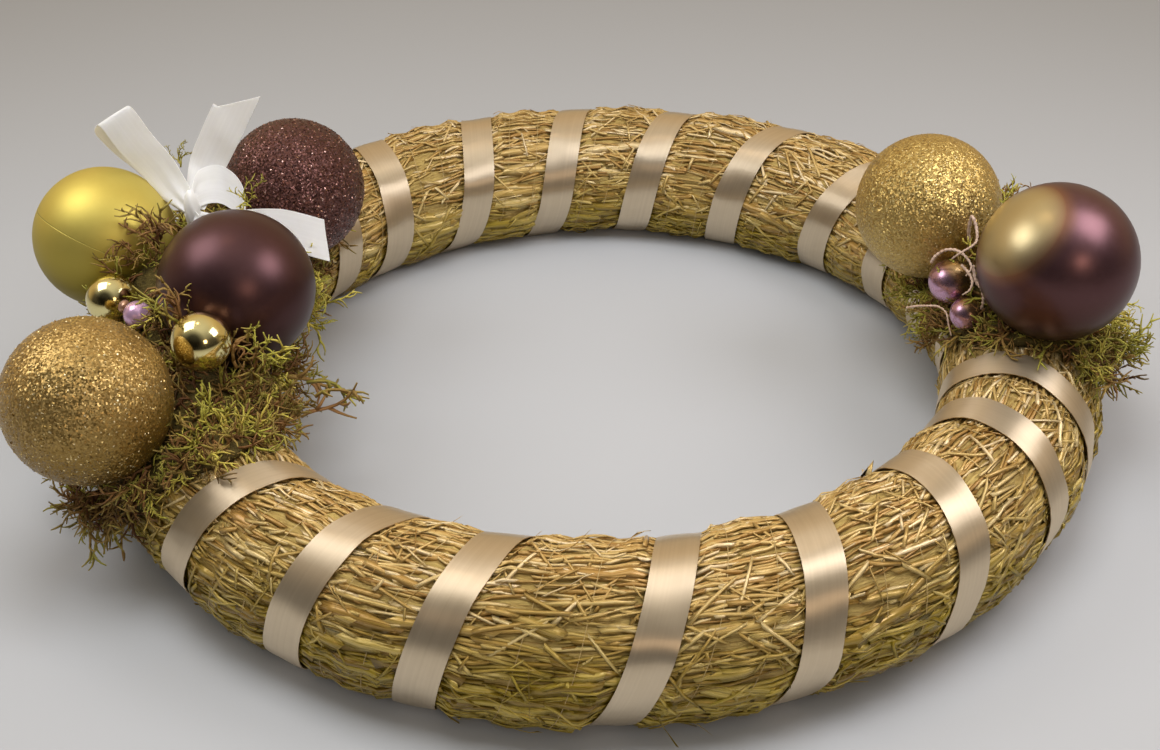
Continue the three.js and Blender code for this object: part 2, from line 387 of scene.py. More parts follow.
def run_tree(obj, tree, **values):
    """Adds the tree to the object as a modifier, with its named inputs set by their identifiers."""
    modifier = obj.modifiers.new(tree.name, "NODES")
    modifier.node_group = tree
    for item in tree.interface.items_tree:
        key = as_key(item.name)
        if item.in_out == "INPUT" and key in values:
            modifier[item.identifier] = values.pop(key)
    assert not values, f"{tree.name} has no inputs {sorted(values)}"


def chance(tree, ask, number, low, high):
    """A random value for each point; the number tells a tree's random values apart."""
    inputs = {"Min": low, "Max": high, "Seed": maths(tree, "ADD", ask["Seed"], number)}
    return out(place(tree, "FunctionNodeRandomValue", inputs, data_type="FLOAT"))


def chosen(tree, ask, number, what):
    """A random value between the least and the greatest that the tree is given."""
    return chance(tree, ask, number, ask[what + " Min"], ask[what + " Max"])


def named_value(tree, name, kind="FLOAT"):
    return out(place(tree, "GeometryNodeInputNamedAttribute", {"Name": name}, data_type=kind), "Attribute")


def on_nearest(tree, surface, value, kind="FLOAT"):
    """The value of the surface at its place nearest to each point."""
    inputs = {"Mesh": surface, "Value": value}
    return out(place(tree, "GeometryNodeSampleNearestSurface", inputs, data_type=kind))


def scattered(tree, ask, density, selection=True):
    """Points strewn over the tree's surface, and its normal at each."""
    spread = {"Mesh": ask["Geometry"], "Selection": selection, "Density": density, "Seed": ask["Seed"]}
    node = place(tree, "GeometryNodeDistributePointsOnFaces", spread)
    return out(node), out(node, "Normal")


def turned(tree, rotation, axis, angle):
    """The rotation, after a turn about one of the instance's own axes."""
    turn = out(place(tree, "FunctionNodeAxisAngleToRotation", {"Axis": axis, "Angle": angle}))
    inputs = {"Rotation": rotation, "Rotate By": turn}
    return out(place(tree, "FunctionNodeRotateRotation", inputs, rotation_space="LOCAL"))


def lying_rotation(tree, normal, heading, spin):
    """Stands each instance's Z on the surface, points its X along the heading, and spins it about Z."""
    kind = "FunctionNodeAlignRotationToVector"
    stood = place(tree, kind, {"Vector": normal}, axis="Z")
    headed = place(tree, kind, {"Rotation": out(stood), "Vector": heading}, axis="X", pivot_axis="Z")
    return turned(tree, out(headed), (0, 0, 1), spin)


def made_real(tree, points, instance, rotation, scale, values, pick=False):
    """Sets an instance on each point, stores values {name: value} with it, and makes it real."""
    inputs = {
        "Points": points,
        "Instance": instance,
        "Pick Instance": pick,
        "Rotation": rotation,
        "Scale": scale,
    }
    geometry = out(place(tree, "GeometryNodeInstanceOnPoints", inputs))
    for name, value in values.items():
        stored = {"Geometry": geometry, "Name": name, "Value": value}
        settings = {"data_type": "FLOAT", "domain": "INSTANCE"}
        geometry = out(place(tree, "GeometryNodeStoreNamedAttribute", stored, **settings))
    return out(place(tree, "GeometryNodeRealizeInstances", {"Geometry": geometry}))


def object_mesh(tree, source):
    return out(place(tree, "GeometryNodeObjectInfo", {"Object": source}), "Geometry")


def finish_tree(tree, geometry, material, result):
    dressed = place(tree, "GeometryNodeSetMaterial", {"Geometry": geometry, "Material": material})
    tree.links.new(out(dressed), result["Geometry"])
    return tree


def straw_laying_tree():
    """Lays stalks along the ring and bends each one over the surface that it lies on."""
    tree, ask, result = new_geometry_tree(
        "lay_straw",
        {"Stalk": "Object", "Straw": "Material"},
        ["Density", "Length Min", "Length Max", "Width Min", "Width Max", "Wander", "Lay Min", "Lay Max",
         "Lift", "Only Low", "Shade Min"],
    )
    surface = ask["Geometry"]
    upward = axis_of(tree, out(place(tree, "GeometryNodeInputNormal")), "Z")
    seen = maths(tree, "GREATER_THAN", upward, UNSEEN)
    position = out(place(tree, "GeometryNodeInputPosition"))
    high = in_range(tree, axis_of(tree, position, "Z"), LOW_STRAW, LOW_STRAW + LOW_STRAW_BLEND)
    left_out = product(tree, high, ask["Only Low"], ask["Density"])
    points, normal = scattered(tree, ask, maths(tree, "SUBTRACT", ask["Density"], left_out), seen)
    heading = vectors(tree, "CROSS_PRODUCT", (0, 0, 1), vectors(tree, "SUBTRACT", position, RING_CENTRE))
    turn = chance(tree, ask, 1, -1.0, 1.0)
    spin = product(tree, turn, maths(tree, "ABSOLUTE", turn), ask["Wander"])
    rotation = lying_rotation(tree, normal, heading, spin)
    width, length = chosen(tree, ask, 2, "Width"), chosen(tree, ask, 3, "Length")
    scale = out(place(tree, "ShaderNodeCombineXYZ", {"X": length, "Y": width, "Z": width}))
    few_high = maths(tree, "POWER", chance(tree, ask, 4, 0.0, 1.0), 3.0)
    kept = {
        "shade": chance(tree, ask, 5, ask["Shade Min"], 1.0),
        "lay": chosen(tree, ask, 6, "Lay"),
        "width": width,
        "lift": product(tree, few_high, ask["Lift"]),
    }
    real = made_real(tree, points, object_mesh(tree, ask["Stalk"]), rotation, scale, kept)
    foot = on_nearest(tree, surface, position, "FLOAT_VECTOR")
    outward = on_nearest(tree, surface, named_value(tree, "outward", "FLOAT_VECTOR"), "FLOAT_VECTOR")
    freedom = on_nearest(tree, surface, named_value(tree, "freedom"))
    loose = maths(tree, "MULTIPLY_ADD", freedom, 1 - PRESSED, PRESSED)
    lay = product(tree, named_value(tree, "lay"), loose)
    rise = product(tree, named_value(tree, "rise"), named_value(tree, "width"))
    tip = maths(tree, "POWER", maths(tree, "MAXIMUM", named_value(tree, "end"), 0.0), 2.0)
    sprung = product(tree, tip, freedom, named_value(tree, "lift"))
    height = maths(tree, "ADD", maths(tree, "ADD", lay, rise), sprung)
    laid = vectors(tree, "MULTIPLY_ADD", outward, height, foot)
    clear = vectors(tree, "MAXIMUM", laid, (-1, -1, FLOOR_CLEARANCE))
    moved = out(place(tree, "GeometryNodeSetPosition", {"Geometry": real, "Position": clear}))
    return finish_tree(tree, moved, ask["Straw"], result)


def moss_growing_tree():
    """Grows sprigs on a bed, lying over it in all directions."""
    tree, ask, result = new_geometry_tree(
        "grow_moss",
        {"Sprigs": "Collection", "Where": "String", "Moss": "Material"},
        ["Density", "Size Min", "Size Max", "Tilt Min", "Tilt Max"],
    )
    points, _ = scattered(tree, ask, product(tree, ask["Density"], named_value(tree, ask["Where"])))
    outward = named_value(tree, "outward", "FLOAT_VECTOR")
    lying = lying_rotation(tree, outward, (0.3, 0.2, 0.1), chance(tree, ask, 1, -math.pi, math.pi))
    tilted = turned(tree, lying, (0, 1, 0), product(tree, chosen(tree, ask, 2, "Tilt"), -1.0))
    rolled = turned(tree, tilted, (1, 0, 0), chance(tree, ask, 3, -math.pi, math.pi))
    apart = {"Collection": ask["Sprigs"], "Separate Children": True, "Reset Children": True}
    sprigs = out(place(tree, "GeometryNodeCollectionInfo", apart))
    shades = {"shade": chance(tree, ask, 5, 0.0, 1.0)}
    real = made_real(tree, points, sprigs, rolled, chosen(tree, ask, 4, "Size"), shades, pick=True)
    return finish_tree(tree, real, ask["Moss"], result)


def glitter_scattering_tree():
    """Scatters glitter flakes over a ball, each leaning a little its own way."""
    tree, ask, result = new_geometry_tree(
        "scatter_glitter",
        {"Flake": "Object", "Glitter": "Material"},
        ["Density", "Size Min", "Size Max", "Lean"],
    )
    points, normal = scattered(tree, ask, ask["Density"])
    lying = lying_rotation(tree, normal, (0, 0, 1), chance(tree, ask, 1, -math.pi, math.pi))
    leaning = turned(tree, lying, (0, 1, 0), product(tree, chance(tree, ask, 2, 0.0, 1.0), ask["Lean"]))
    shades = {"shade": chance(tree, ask, 4, 0.0, 1.0)}
    flake = object_mesh(tree, ask["Flake"])
    real = made_real(tree, points, flake, leaning, chosen(tree, ask, 3, "Size"), shades)
    return finish_tree(tree, real, ask["Glitter"], result)


# ---- finishes -------------------------------------------------------------------------------------------


def mixed(tree, share, first, second, blend="MIX"):
    """A colour between two, or made of two."""
    inputs = {"Factor": share, "A": first, "B": second}
    return out(place(tree, "ShaderNodeMix", inputs, data_type="RGBA", blend_type=blend), "Result")


def ramp(tree, share, *stops):
    """Colours from stops of (place, colour)."""
    node = place(tree, "ShaderNodeValToRGB", {"Fac": share})
    elements = node.color_ramp.elements
    while len(elements) < len(stops):
        elements.new(0.5)
    for element, (position, colour) in zip(elements, stops):
        element.position = position
        element.color = (*colour, 1.0)
    return out(node, "Color")


def grain_noise(tree, where, scale, detail=3.0, stretch=(1, 1, 1)):
    inputs = {"Vector": vectors(tree, "MULTIPLY", where, stretch), "Scale": scale, "Detail": detail}
    return out(place(tree, "ShaderNodeTexNoise", inputs), "Fac")


def own(tree, name, output="Fac"):
    """An attribute of the piece."""
    return out(place(tree, "ShaderNodeAttribute", attribute_name=name), output)


def object_place(tree):
    return out(place(tree, "ShaderNodeTexCoord"), "Object")


def new_material(name, **sockets):
    """A material on one Principled shader, with its tree and the shader's inputs."""
    material = bpy.data.materials.new(name)
    material.use_nodes = True
    shader = material.node_tree.nodes["Principled BSDF"]
    feed_by_key(material.node_tree, shader.inputs, sockets, name)
    return material, material.node_tree, shader.inputs


def bumped(tree, inputs, height, distance, strength=1.0):
    bump = place(tree, "ShaderNodeBump", {"Height": height, "Distance": distance, "Strength": strength})
    tree.links.new(out(bump), inputs["Normal"])


def grouped(tree, group, **values):
    """Places a group of nodes with these inputs."""
    node = place(tree, "ShaderNodeGroup", node_tree=group)
    feed_by_key(tree, node.inputs, values, group.name)
    return node


def mottling_group():
    """Uneven colour and height: patches of a size, with finer grain on them."""
    tree, given, result = new_tree(
        "mottling",
        "ShaderNodeTree",
        {"Place": "Vector", "Patch Size": "Float", "Contrast": "Float", "Dark": "Color", "Light": "Color"},
        {"Colour": "Color", "Height": "Float"},
    )
    scale = maths(tree, "DIVIDE", 1.0, given["Patch Size"])
    patches = grain_noise(tree, given["Place"], scale, 2.0)
    grain = grain_noise(tree, given["Place"], product(tree, scale, 5.0), 4.0)
    height = maths(tree, "MULTIPLY_ADD", grain, 0.4, product(tree, patches, 0.6))
    centred = maths(tree, "MULTIPLY_ADD", maths(tree, "SUBTRACT", height, 0.5), given["Contrast"], 0.5)
    share = out(place(tree, "ShaderNodeClamp", {"Value": centred}))
    tree.links.new(mixed(tree, share, given["Dark"], given["Light"]), result["Colour"])
    tree.links.new(height, result["Height"])
    return tree


def satin_group():
    """Woven satin: streaks along the ribbon, with fainter bands across it, in colour and in gloss."""
    tree, given, result = new_tree(
        "satin_weave",
        "ShaderNodeTree",
        {"Cloth": "Vector", "Colour": "Color", "Shadow": "Color"},
        {"Colour": "Color", "Roughness": "Float"},
    )
    bands = grain_noise(tree, given["Cloth"], 1.0, 2.0, (2.5, 260, 1))
    streaks = grain_noise(tree, given["Cloth"], 1.0, 2.0, (14, 9, 1))
    uneven = maths(tree, "MULTIPLY_ADD", streaks, 0.75, product(tree, bands, 0.25))
    share = in_range(tree, uneven, 0.3, 0.65)
    tree.links.new(mixed(tree, share, given["Shadow"], given["Colour"]), result["Colour"])
    tree.links.new(in_range(tree, uneven, 0.2, 0.8, 0.4, 0.46), result["Roughness"])
    return tree


def glitter_group():
    """Glitter glued on at all angles: each cell has a lean and a shade of its own."""
    tree, given, result = new_tree(
        "glitter",
        "ShaderNodeTree",
        {"Place": "Vector", "Facing": "Vector", "Flake Size": "Float", "Lean": "Float"},
        {"Shade": "Float", "Normal": "Vector"},
    )
    scale = maths(tree, "DIVIDE", 1.0, given["Flake Size"])
    cells = out(place(tree, "ShaderNodeTexVoronoi", {"Vector": given["Place"], "Scale": scale}), "Color")
    lean = vectors(tree, "SUBTRACT", cells, (0.5, 0.5, 0.5))
    leaning = vectors(tree, "MULTIPLY_ADD", lean, given["Lean"], given["Facing"])
    tree.links.new(vectors(tree, "NORMALIZE", leaning), result["Normal"])
    tree.links.new(out(place(tree, "ShaderNodeSeparateColor", {0: cells}), "Red"), result["Shade"])
    return tree


WARM_STRAW = [
    (0.0, (0.37, 0.2, 0.05)),
    (0.2, (0.48, 0.28, 0.075)),
    (0.5, (0.58, 0.38, 0.12)),
    (0.78, (0.69, 0.5, 0.19)),
    (1.0, (0.9, 0.72, 0.44)),
]
# Straw low on the ring: greener, and darker as painted shade.
GREEN_AND_SHADED_STRAW = [
    (0.0, (0.18, 0.1, 0.005)),
    (0.3, (0.265, 0.175, 0.008)),
    (0.65, (0.34, 0.24, 0.014)),
    (1.0, (0.52, 0.38, 0.06)),
]
SHADED_GREEN_BELOW, WARM_ABOVE = 44 * MM, 76 * MM  # heights, give or take some unevenness
INSIDE_GREENER_AND_SHADED = 14 * MM  # by how much both are higher at the inside of the ring, painted shade included


def straw_material():
    """Dry stalks: each its own colour from amber to pale gold, streaked along, greener low on the ring and
    darker there as painted shade.
    """
    material, tree, inputs = new_material("straw", metallic=0.38, specular_ior_level=0.8, coat_weight=0.18,
                                          coat_roughness=0.25)
    grain, shade = own(tree, "grain", "Vector"), own(tree, "shade")
    apart = vectors(tree, "SCALE", (31.0, 17.0, 53.0), Scale=shade)
    fibres = grain_noise(tree, vectors(tree, "ADD", grain, apart), 1.0, 3.0, (4, 14, 3))
    tone = maths(tree, "MULTIPLY_ADD", maths(tree, "SUBTRACT", fibres, 0.5), 0.8, shade)
    where = object_place(tree)
    uneven = maths(tree, "MULTIPLY_ADD", grain_noise(tree, where, 28.0), 0.03, axis_of(tree, where, "Z"))
    in_plan = vectors(tree, "MULTIPLY", vectors(tree, "SUBTRACT", where, RING_CENTRE), (1, 1, 0))
    from_axis = measured(tree, "LENGTH", in_plan)
    inner, outer = RING_RADIUS - TUBE_RADIUS, RING_RADIUS + TUBE_RADIUS
    level = maths(tree, "ADD", uneven, in_range(tree, from_axis, inner, outer, INSIDE_GREENER_AND_SHADED, 0.0))
    # share of the low ramp: its green is the straw's own, its darkness painted shade
    low = in_range(tree, level, SHADED_GREEN_BELOW, WARM_ABOVE, 1.0, 0.0)
    colour = mixed(tree, low, ramp(tree, tone, *WARM_STRAW), ramp(tree, tone, *GREEN_AND_SHADED_STRAW))
    tree.links.new(colour, inputs["Base Color"])
    tree.links.new(in_range(tree, fibres, 0.3, 0.7, 0.22, 0.38), inputs["Roughness"])
    bumped(tree, inputs, fibres, 0.3 * MM, 0.5)
    return material


MOSS_SHADES = [
    (0.0, (0.1, 0.04, 0.014)),
    (0.35, (0.25, 0.125, 0.04)),
    (0.55, (0.3, 0.19, 0.05)),
    (0.7, (0.27, 0.24, 0.04)),
    (0.86, (0.41, 0.365, 0.05)),
    (1.0, (0.58, 0.46, 0.09)),
]
MOSS_TIPS = (0.43, 0.43, 0.075)


def moss_material():
    """Dried moss: brown, olive and yellow-green sprigs side by side, lighter at their tips."""
    material, tree, inputs = new_material("moss", roughness=0.62, specular_ior_level=0.35)
    where, shade = object_place(tree), own(tree, "shade")
    patches = grain_noise(tree, where, 38.0, 2.0)
    tone = maths(tree, "MULTIPLY_ADD", maths(tree, "SUBTRACT", patches, 0.5), 1.3, shade)
    along = axis_of(tree, own(tree, "grain", "Vector"), "X")
    towards_tip = in_range(tree, along, 0.4, 1.1, 0.0, 0.5)
    tree.links.new(mixed(tree, towards_tip, ramp(tree, tone, *MOSS_SHADES), MOSS_TIPS), inputs["Base Color"])
    bumped(tree, inputs, grain_noise(tree, where, 1500.0), 0.15 * MM)
    return material


def satin_material(name, satin, colour, shadow, **sockets):
    material, tree, inputs = new_material(name, **sockets)
    cloth = out(place(tree, "ShaderNodeUVMap", uv_map="cloth"))
    node = grouped(tree, satin, cloth=cloth, colour=colour, shadow=shadow)
    tree.links.new(out(node, "Colour"), inputs["Base Color"])
    tree.links.new(out(node, "Roughness"), inputs["Roughness"])
    return material


def along_the_ring(tree):
    """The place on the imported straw, drawn out along the ring."""
    return vectors(tree, "MULTIPLY", own(tree, "lengthways", "Vector"), (0.12, 1, 1))


def mottled(name, mottling, patch_size, contrast, dark, light, where=object_place, **sockets):
    """A material in patches of two colours, with its tree, its shader's inputs and the patches' height."""
    material, tree, inputs = new_material(name, **sockets)
    node = grouped(tree, mottling, place=where(tree), patch_size=patch_size, contrast=contrast, dark=dark,
                   light=light)
    tree.links.new(out(node, "Colour"), inputs["Base Color"])
    return material, tree, inputs, out(node, "Height")


def uneven_material(*patches, bump=0.0, strength=1.0, **sockets):
    """A finish in patches of two colours, raised from one another by the bump."""
    material, tree, inputs, height = mottled(*patches, **sockets)
    if bump:
        bumped(tree, inputs, height, bump, strength)
    return material


LACQUER_CLOUDS = 12 * MM
GLOSS_SPREAD = 0.025  # by which a lacquer's roughness goes up and down


def lacquer_material(name, mottling, dark, light, roughness, **sockets):
    """Metallic lacquer over a ball: cloudy by a hair, in colour and in gloss."""
    material, tree, inputs, height = mottled(name, mottling, LACQUER_CLOUDS, 1.2, dark, light, **sockets)
    gloss = in_range(tree, height, 0.3, 0.7, roughness - GLOSS_SPREAD, roughness + GLOSS_SPREAD)
    tree.links.new(gloss, inputs["Roughness"])
    return material


def facing_toward(tree, facing, way):
    """The cosine between the way that a ball's surface faces and a given one."""
    return measured(tree, "DOT_PRODUCT", vectors(tree, "NORMALIZE", facing), way)


def painted_shade_group():
    """A ball's colour, blended into a darker one on its underside: painted shade."""
    tree, given, result = new_tree(
        "darker_below",
        "ShaderNodeTree",
        {"Colour": "Color", "Facing": "Vector", "Dark": "Color"},
        {"Colour": "Color"},
    )
    # painted shade: the colour turns dark where the ball faces down
    below = in_range(tree, facing_toward(tree, given["Facing"], (0, 0, 1)), -0.35, 0.5, 1.0, 0.0)
    tree.links.new(mixed(tree, below, given["Colour"], given["Dark"]), result["Colour"])
    return tree


def second_colour_group():
    """A ball's colour, blended by way of a rim into a second, cloudy one where it faces a direction."""
    tree, given, result = new_tree(
        "second_colour",
        "ShaderNodeTree",
        {"Colour": "Color", "Facing": "Vector", "Place": "Vector", "Toward": "Vector", "Start": "Float",
         "End": "Float", "Rim": "Color", "Dark": "Color", "Light": "Color"},
        {"Colour": "Color"},
    )
    cosine = facing_toward(tree, given["Facing"], given["Toward"])
    share = in_range(tree, cosine, given["Start"], given["End"], interpolation_type="SMOOTHSTEP")
    rim = mixed(tree, in_range(tree, share, 0.0, 0.5), given["Colour"], given["Rim"])
    second = mixed(tree, grain_noise(tree, given["Place"], 60.0), given["Dark"], given["Light"])
    tree.links.new(mixed(tree, in_range(tree, share, 0.4, 1.0), rim, second), result["Colour"])
    return tree


def base_colour(material):
    """The input of a material's colour, and the socket that feeds it."""
    base = material.node_tree.nodes["Principled BSDF"].inputs["Base Color"]
    return base, base.links[0].from_socket


def recoloured(material, group, **values):
    """Sends the colour of a ball's material through a group of nodes."""
    tree = material.node_tree
    base, colour = base_colour(material)
    node = grouped(tree, group, colour=colour, facing=own(tree, "facing", "Vector"), **values)
    tree.links.new(out(node, "Colour"), base)
    return material


SEAM_SHARE = 0.01  # half the width of a mould's seam, as a share of the ball's radius


def seamed(material, pole, colour):
    """The seam of the mould: a fine dark line round the ball's middle."""
    tree = material.node_tree
    from_seam = maths(tree, "ABSOLUTE", facing_toward(tree, own(tree, "facing", "Vector"), pole))
    line = in_range(tree, from_seam, 0.0, SEAM_SHARE, 1.0, 0.0)
    bumped(tree, tree.nodes["Principled BSDF"].inputs, line, -0.12 * MM)
    base, first = base_colour(material)
    tree.links.new(mixed(tree, product(tree, line, 0.55), first, colour), base)
    return material


def glued_glitter_material(name, glitter, lean, dark, light, **sockets):
    """The ball under its loose flakes: finer glitter in glue."""
    material, tree, inputs = new_material(name, **sockets)
    facing = out(place(tree, "ShaderNodeTexCoord"), "Normal")
    node = grouped(tree, glitter, place=object_place(tree), facing=facing, flake_size=0.6 * MM, lean=lean)
    tree.links.new(mixed(tree, out(node, "Shade"), dark, light), inputs["Base Color"])
    tree.links.new(out(node, "Normal"), inputs["Normal"])
    return material


def flake_material(name, roughness, *stops):
    material, tree, inputs = new_material(name, metallic=1.0, roughness=roughness)
    tree.links.new(ramp(tree, own(tree, "shade"), *stops), inputs["Base Color"])
    return material


def cloth_finishes(mottling, satin):
    return {
        "champagne": satin_material(
            "champagne_satin", satin, (0.73, 0.61, 0.44), (0.67, 0.55, 0.385),
            metallic=0.85, specular_ior_level=0.8, anisotropic=0.9,
        ),
        "white": satin_material(
            "white_satin", satin, (0.82, 0.815, 0.79), (0.77, 0.765, 0.74),
            sheen_weight=0.3, subsurface_weight=1.0, subsurface_scale=1 * MM, subsurface_radius=(1, 1, 0.9),
        ),
        # the satin where it is gathered too tightly for its weave to run straight
        "knot": uneven_material(
            "gathered_satin", mottling, 4 * MM, 0.8, (0.74, 0.725, 0.69), (0.82, 0.815, 0.79),
            bump=0.4 * MM, strength=0.5, roughness=0.36, sheen_weight=0.2,
        ),
        "cloth": uneven_material(
            "table_cloth", mottling, 350 * MM, 0.5, (0.42, 0.43, 0.446), (0.44, 0.45, 0.466),
            roughness=0.9, specular_ior_level=0.2,
        ),
    }


def plant_finishes(mottling):
    return {
        "straw": straw_material(),
        # the straw seen in the gaps between stalks: streaked along the ring, and darker than the stalks as
        # painted shade in the gaps
        "straw_core": uneven_material(
            "packed_straw", mottling, 1.2 * MM, 3.2, (0.26, 0.155, 0.035), (0.6, 0.44, 0.14),
            where=along_the_ring, bump=1.2 * MM, metallic=0.1, roughness=0.5,
        ),
        "thread": uneven_material(
            "binding_thread", mottling, 5 * MM, 1.5, (0.34, 0.22, 0.07), (0.62, 0.46, 0.2),
            roughness=0.35, specular_ior_level=0.7,
        ),
        "moss": moss_material(),
        # the bed under the sprigs: near black in patches, as painted shade of the moss's depths
        "moss_bed": uneven_material(
            "moss_bed", mottling, 4 * MM, 2.2, (0.02, 0.014, 0.006), (0.15, 0.11, 0.03),
            bump=2.5 * MM, roughness=0.85, specular_ior_level=0.2,
        ),
        "curls": uneven_material(
            "dry_tendrils", mottling, 3 * MM, 1.8, (0.36, 0.22, 0.14), (0.8, 0.6, 0.48),
            bump=0.3 * MM, roughness=0.4, specular_ior_level=0.6,
        ),
    }


def lacquer_finishes(mottling, darker, second):
    plum = lacquer_material(
        "plum_lacquer", mottling, (0.095, 0.046, 0.049), (0.12, 0.06, 0.063), 0.37, metallic=0.9
    )
    mauve = lacquer_material(
        "plum_to_gold_lacquer", mottling, (0.13, 0.062, 0.07), (0.17, 0.088, 0.098), 0.35, metallic=0.9
    )
    lime = lacquer_material(
        "lime_lacquer", mottling, (0.66, 0.53, 0.11), (0.74, 0.61, 0.15), 0.5, metallic=0.8
    )
    bead = lacquer_material(
        "mauve_mirror", mottling, (0.56, 0.33, 0.46), (0.64, 0.4, 0.54), 0.27, metallic=0.95
    )
    return {
        # with darker, dark is the painted shade on a ball's underside; the second colour's dark and light are
        # its gold paint
        "plum": recoloured(plum, darker, dark=(0.055, 0.026, 0.024)),
        "plum_and_gold": recoloured(
            recoloured(mauve, darker, dark=(0.075, 0.034, 0.028)), second,
            place=object_place(mauve.node_tree), toward=PLUM_GOLD_SIDE, start=0.62, end=0.92,
            rim=(0.3, 0.15, 0.09), dark=(0.56, 0.46, 0.24), light=(0.64, 0.53, 0.3),
        ),
        "lime": seamed(
            recoloured(lime, darker, dark=(0.25, 0.195, 0.02)), LIME_POLE, (0.12, 0.1, 0.02)
        ),
        "gold_mirror": lacquer_material(
            "gold_mirror", mottling, (0.8, 0.7, 0.32), (0.86, 0.77, 0.4), 0.13, metallic=1.0
        ),
        "lilac": lacquer_material(
            "lilac_pearl", mottling, (0.66, 0.4, 0.62), (0.74, 0.5, 0.7), 0.22, metallic=0.6, coat_weight=0.4
        ),
        "mauve_and_gold": recoloured(
            bead, second,
            place=object_place(bead.node_tree), toward=BEAD_GOLD_SIDE, start=-0.1, end=0.6,
            rim=(0.42, 0.24, 0.18), dark=(0.48, 0.31, 0.14), light=(0.56, 0.38, 0.18),
        ),
    }


def glitter_finishes(glitter, darker):
    fine_gold = glued_glitter_material(
        "fine_gold_glitter", glitter, 0.7, (0.3, 0.185, 0.05), (0.62, 0.43, 0.16),
        metallic=0.85, roughness=0.36,
    )
    return {
        # dark is the painted shade on the ball's underside
        "fine_gold": recoloured(fine_gold, darker, dark=(0.26, 0.16, 0.035)),
        "coarse_gold": glued_glitter_material(
            "coarse_gold_glitter", glitter, 0.9, (0.44, 0.28, 0.08), (0.74, 0.56, 0.2),
            metallic=0.9, roughness=0.4,
        ),
        "brown": glued_glitter_material(
            "brown_glitter", glitter, 1.0, (0.05, 0.02, 0.018), (0.18, 0.08, 0.068),
            metallic=0.75, roughness=0.35,
        ),
        "fine_gold_flakes": flake_material(
            "fine_gold_flakes", 0.33,
            (0, (0.5, 0.34, 0.1)), (0.6, (0.85, 0.65, 0.28)), (1, (1.0, 0.9, 0.6)),
        ),
        "coarse_gold_flakes": flake_material(
            "coarse_gold_flakes", 0.34,
            (0, (0.5, 0.36, 0.12)), (0.6, (0.78, 0.62, 0.26)), (1, (0.98, 0.88, 0.56)),
        ),
        "brown_flakes": flake_material(
            "brown_flakes", 0.25,
            (0, (0.07, 0.025, 0.02)), (0.55, (0.22, 0.1, 0.08)), (0.8, (0.5, 0.28, 0.24)),
            (1, (0.9, 0.62, 0.55)),
        ),
    }


def finishes():
    mottling, darker = mottling_group(), painted_shade_group()
    return {
        **plant_finishes(mottling),
        **cloth_finishes(mottling, satin_group()),
        **lacquer_finishes(mottling, darker, second_colour_group()),
        **glitter_finishes(glitter_group(), darker),
    }


# ---- the straw ------------------------------------------------------------------------------------------


def straw_swell(share, pitch):
    """How far the straw is free to swell, 0 to 1, at a share of the way from one turn to the next."""
    reach = np.minimum(share, 1 - share) * pitch
    swell = smooth_step((reach - RIBBON_WIDTH / 2) / SWELL_WIDTH)
    pinch = sum(np.exp(-(((share - thread) * pitch / PINCH_WIDTH) ** 2)) for thread in THREADS)
    return swell, np.clip(pinch, 0, 1)


def core_radius(along, around, swell, pinch):
    lumps = np.sin(np.radians(7 * along + 40)) * np.sin(np.radians(3 * around + 2 * along))
    lumps = lumps + 0.6 * np.sin(np.radians(19 * along - 2 * around))
    return CORE_BED + swell * (CORE_CREST - CORE_BED - PINCH_DEPTH * pinch + LUMPS * lumps)


def between_turns(turn, share, around):
    """Angle along the ring, and width of the gap between turns, at a share of the way to the next turn."""
    turns = turn + (around - 90) / 360
    here, following = ribbon_middle(turns), ribbon_middle(turns + 1)
    pitch = np.radians(following - here) * (RING_RADIUS + TUBE_RADIUS * np.cos(np.radians(around)))
    return here + share * (following - here), pitch


def straw_core(material):
    """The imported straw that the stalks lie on. Its grid follows the ribbon, so round the tube a line of it
    comes back one turn further on."""
    turn, column, step = np.meshgrid(
        np.arange(len(TURNS)), np.arange(CORE_COLUMNS), np.arange(CORE_STEPS), indexing="ij"
    )
    around = -90 + 360 * step / CORE_STEPS
    share = column / CORE_COLUMNS
    along, pitch = between_turns(turn, share, around)
    swell, pinch = straw_swell(share, pitch)
    points = ring_points(along, around, core_radius(along, around, swell, pinch))
    raise_to(points, FLOOR_CLEARANCE)

    def index(t, c, s):
        t = (t + c // CORE_COLUMNS + s // CORE_STEPS) % len(TURNS)
        return (t * CORE_COLUMNS + c % CORE_COLUMNS) * CORE_STEPS + s % CORE_STEPS

    corners = [(0, 0), (1, 0), (1, 1), (0, 1)]
    faces = np.stack([index(turn, column + c, step + s) for c, s in corners], -1).reshape(-1, 4)
    core = mesh_object("straw_core", points, faces)
    store(core.data, "outward", "FLOAT_VECTOR", outward_way(along, around))
    store(core.data, "freedom", "FLOAT", swell * (1 - pinch))
    round_ring = np.radians(along % 360) * RING_RADIUS
    round_ring = np.stack([round_ring, np.radians(around) * TUBE_RADIUS, 0 * along], -1)
    store(core.data, "lengthways", "FLOAT_VECTOR", round_ring)
    return dress(core, material)


SKEWED_CUT = 0.1  # how far the ends of a stalk are cut on the skew


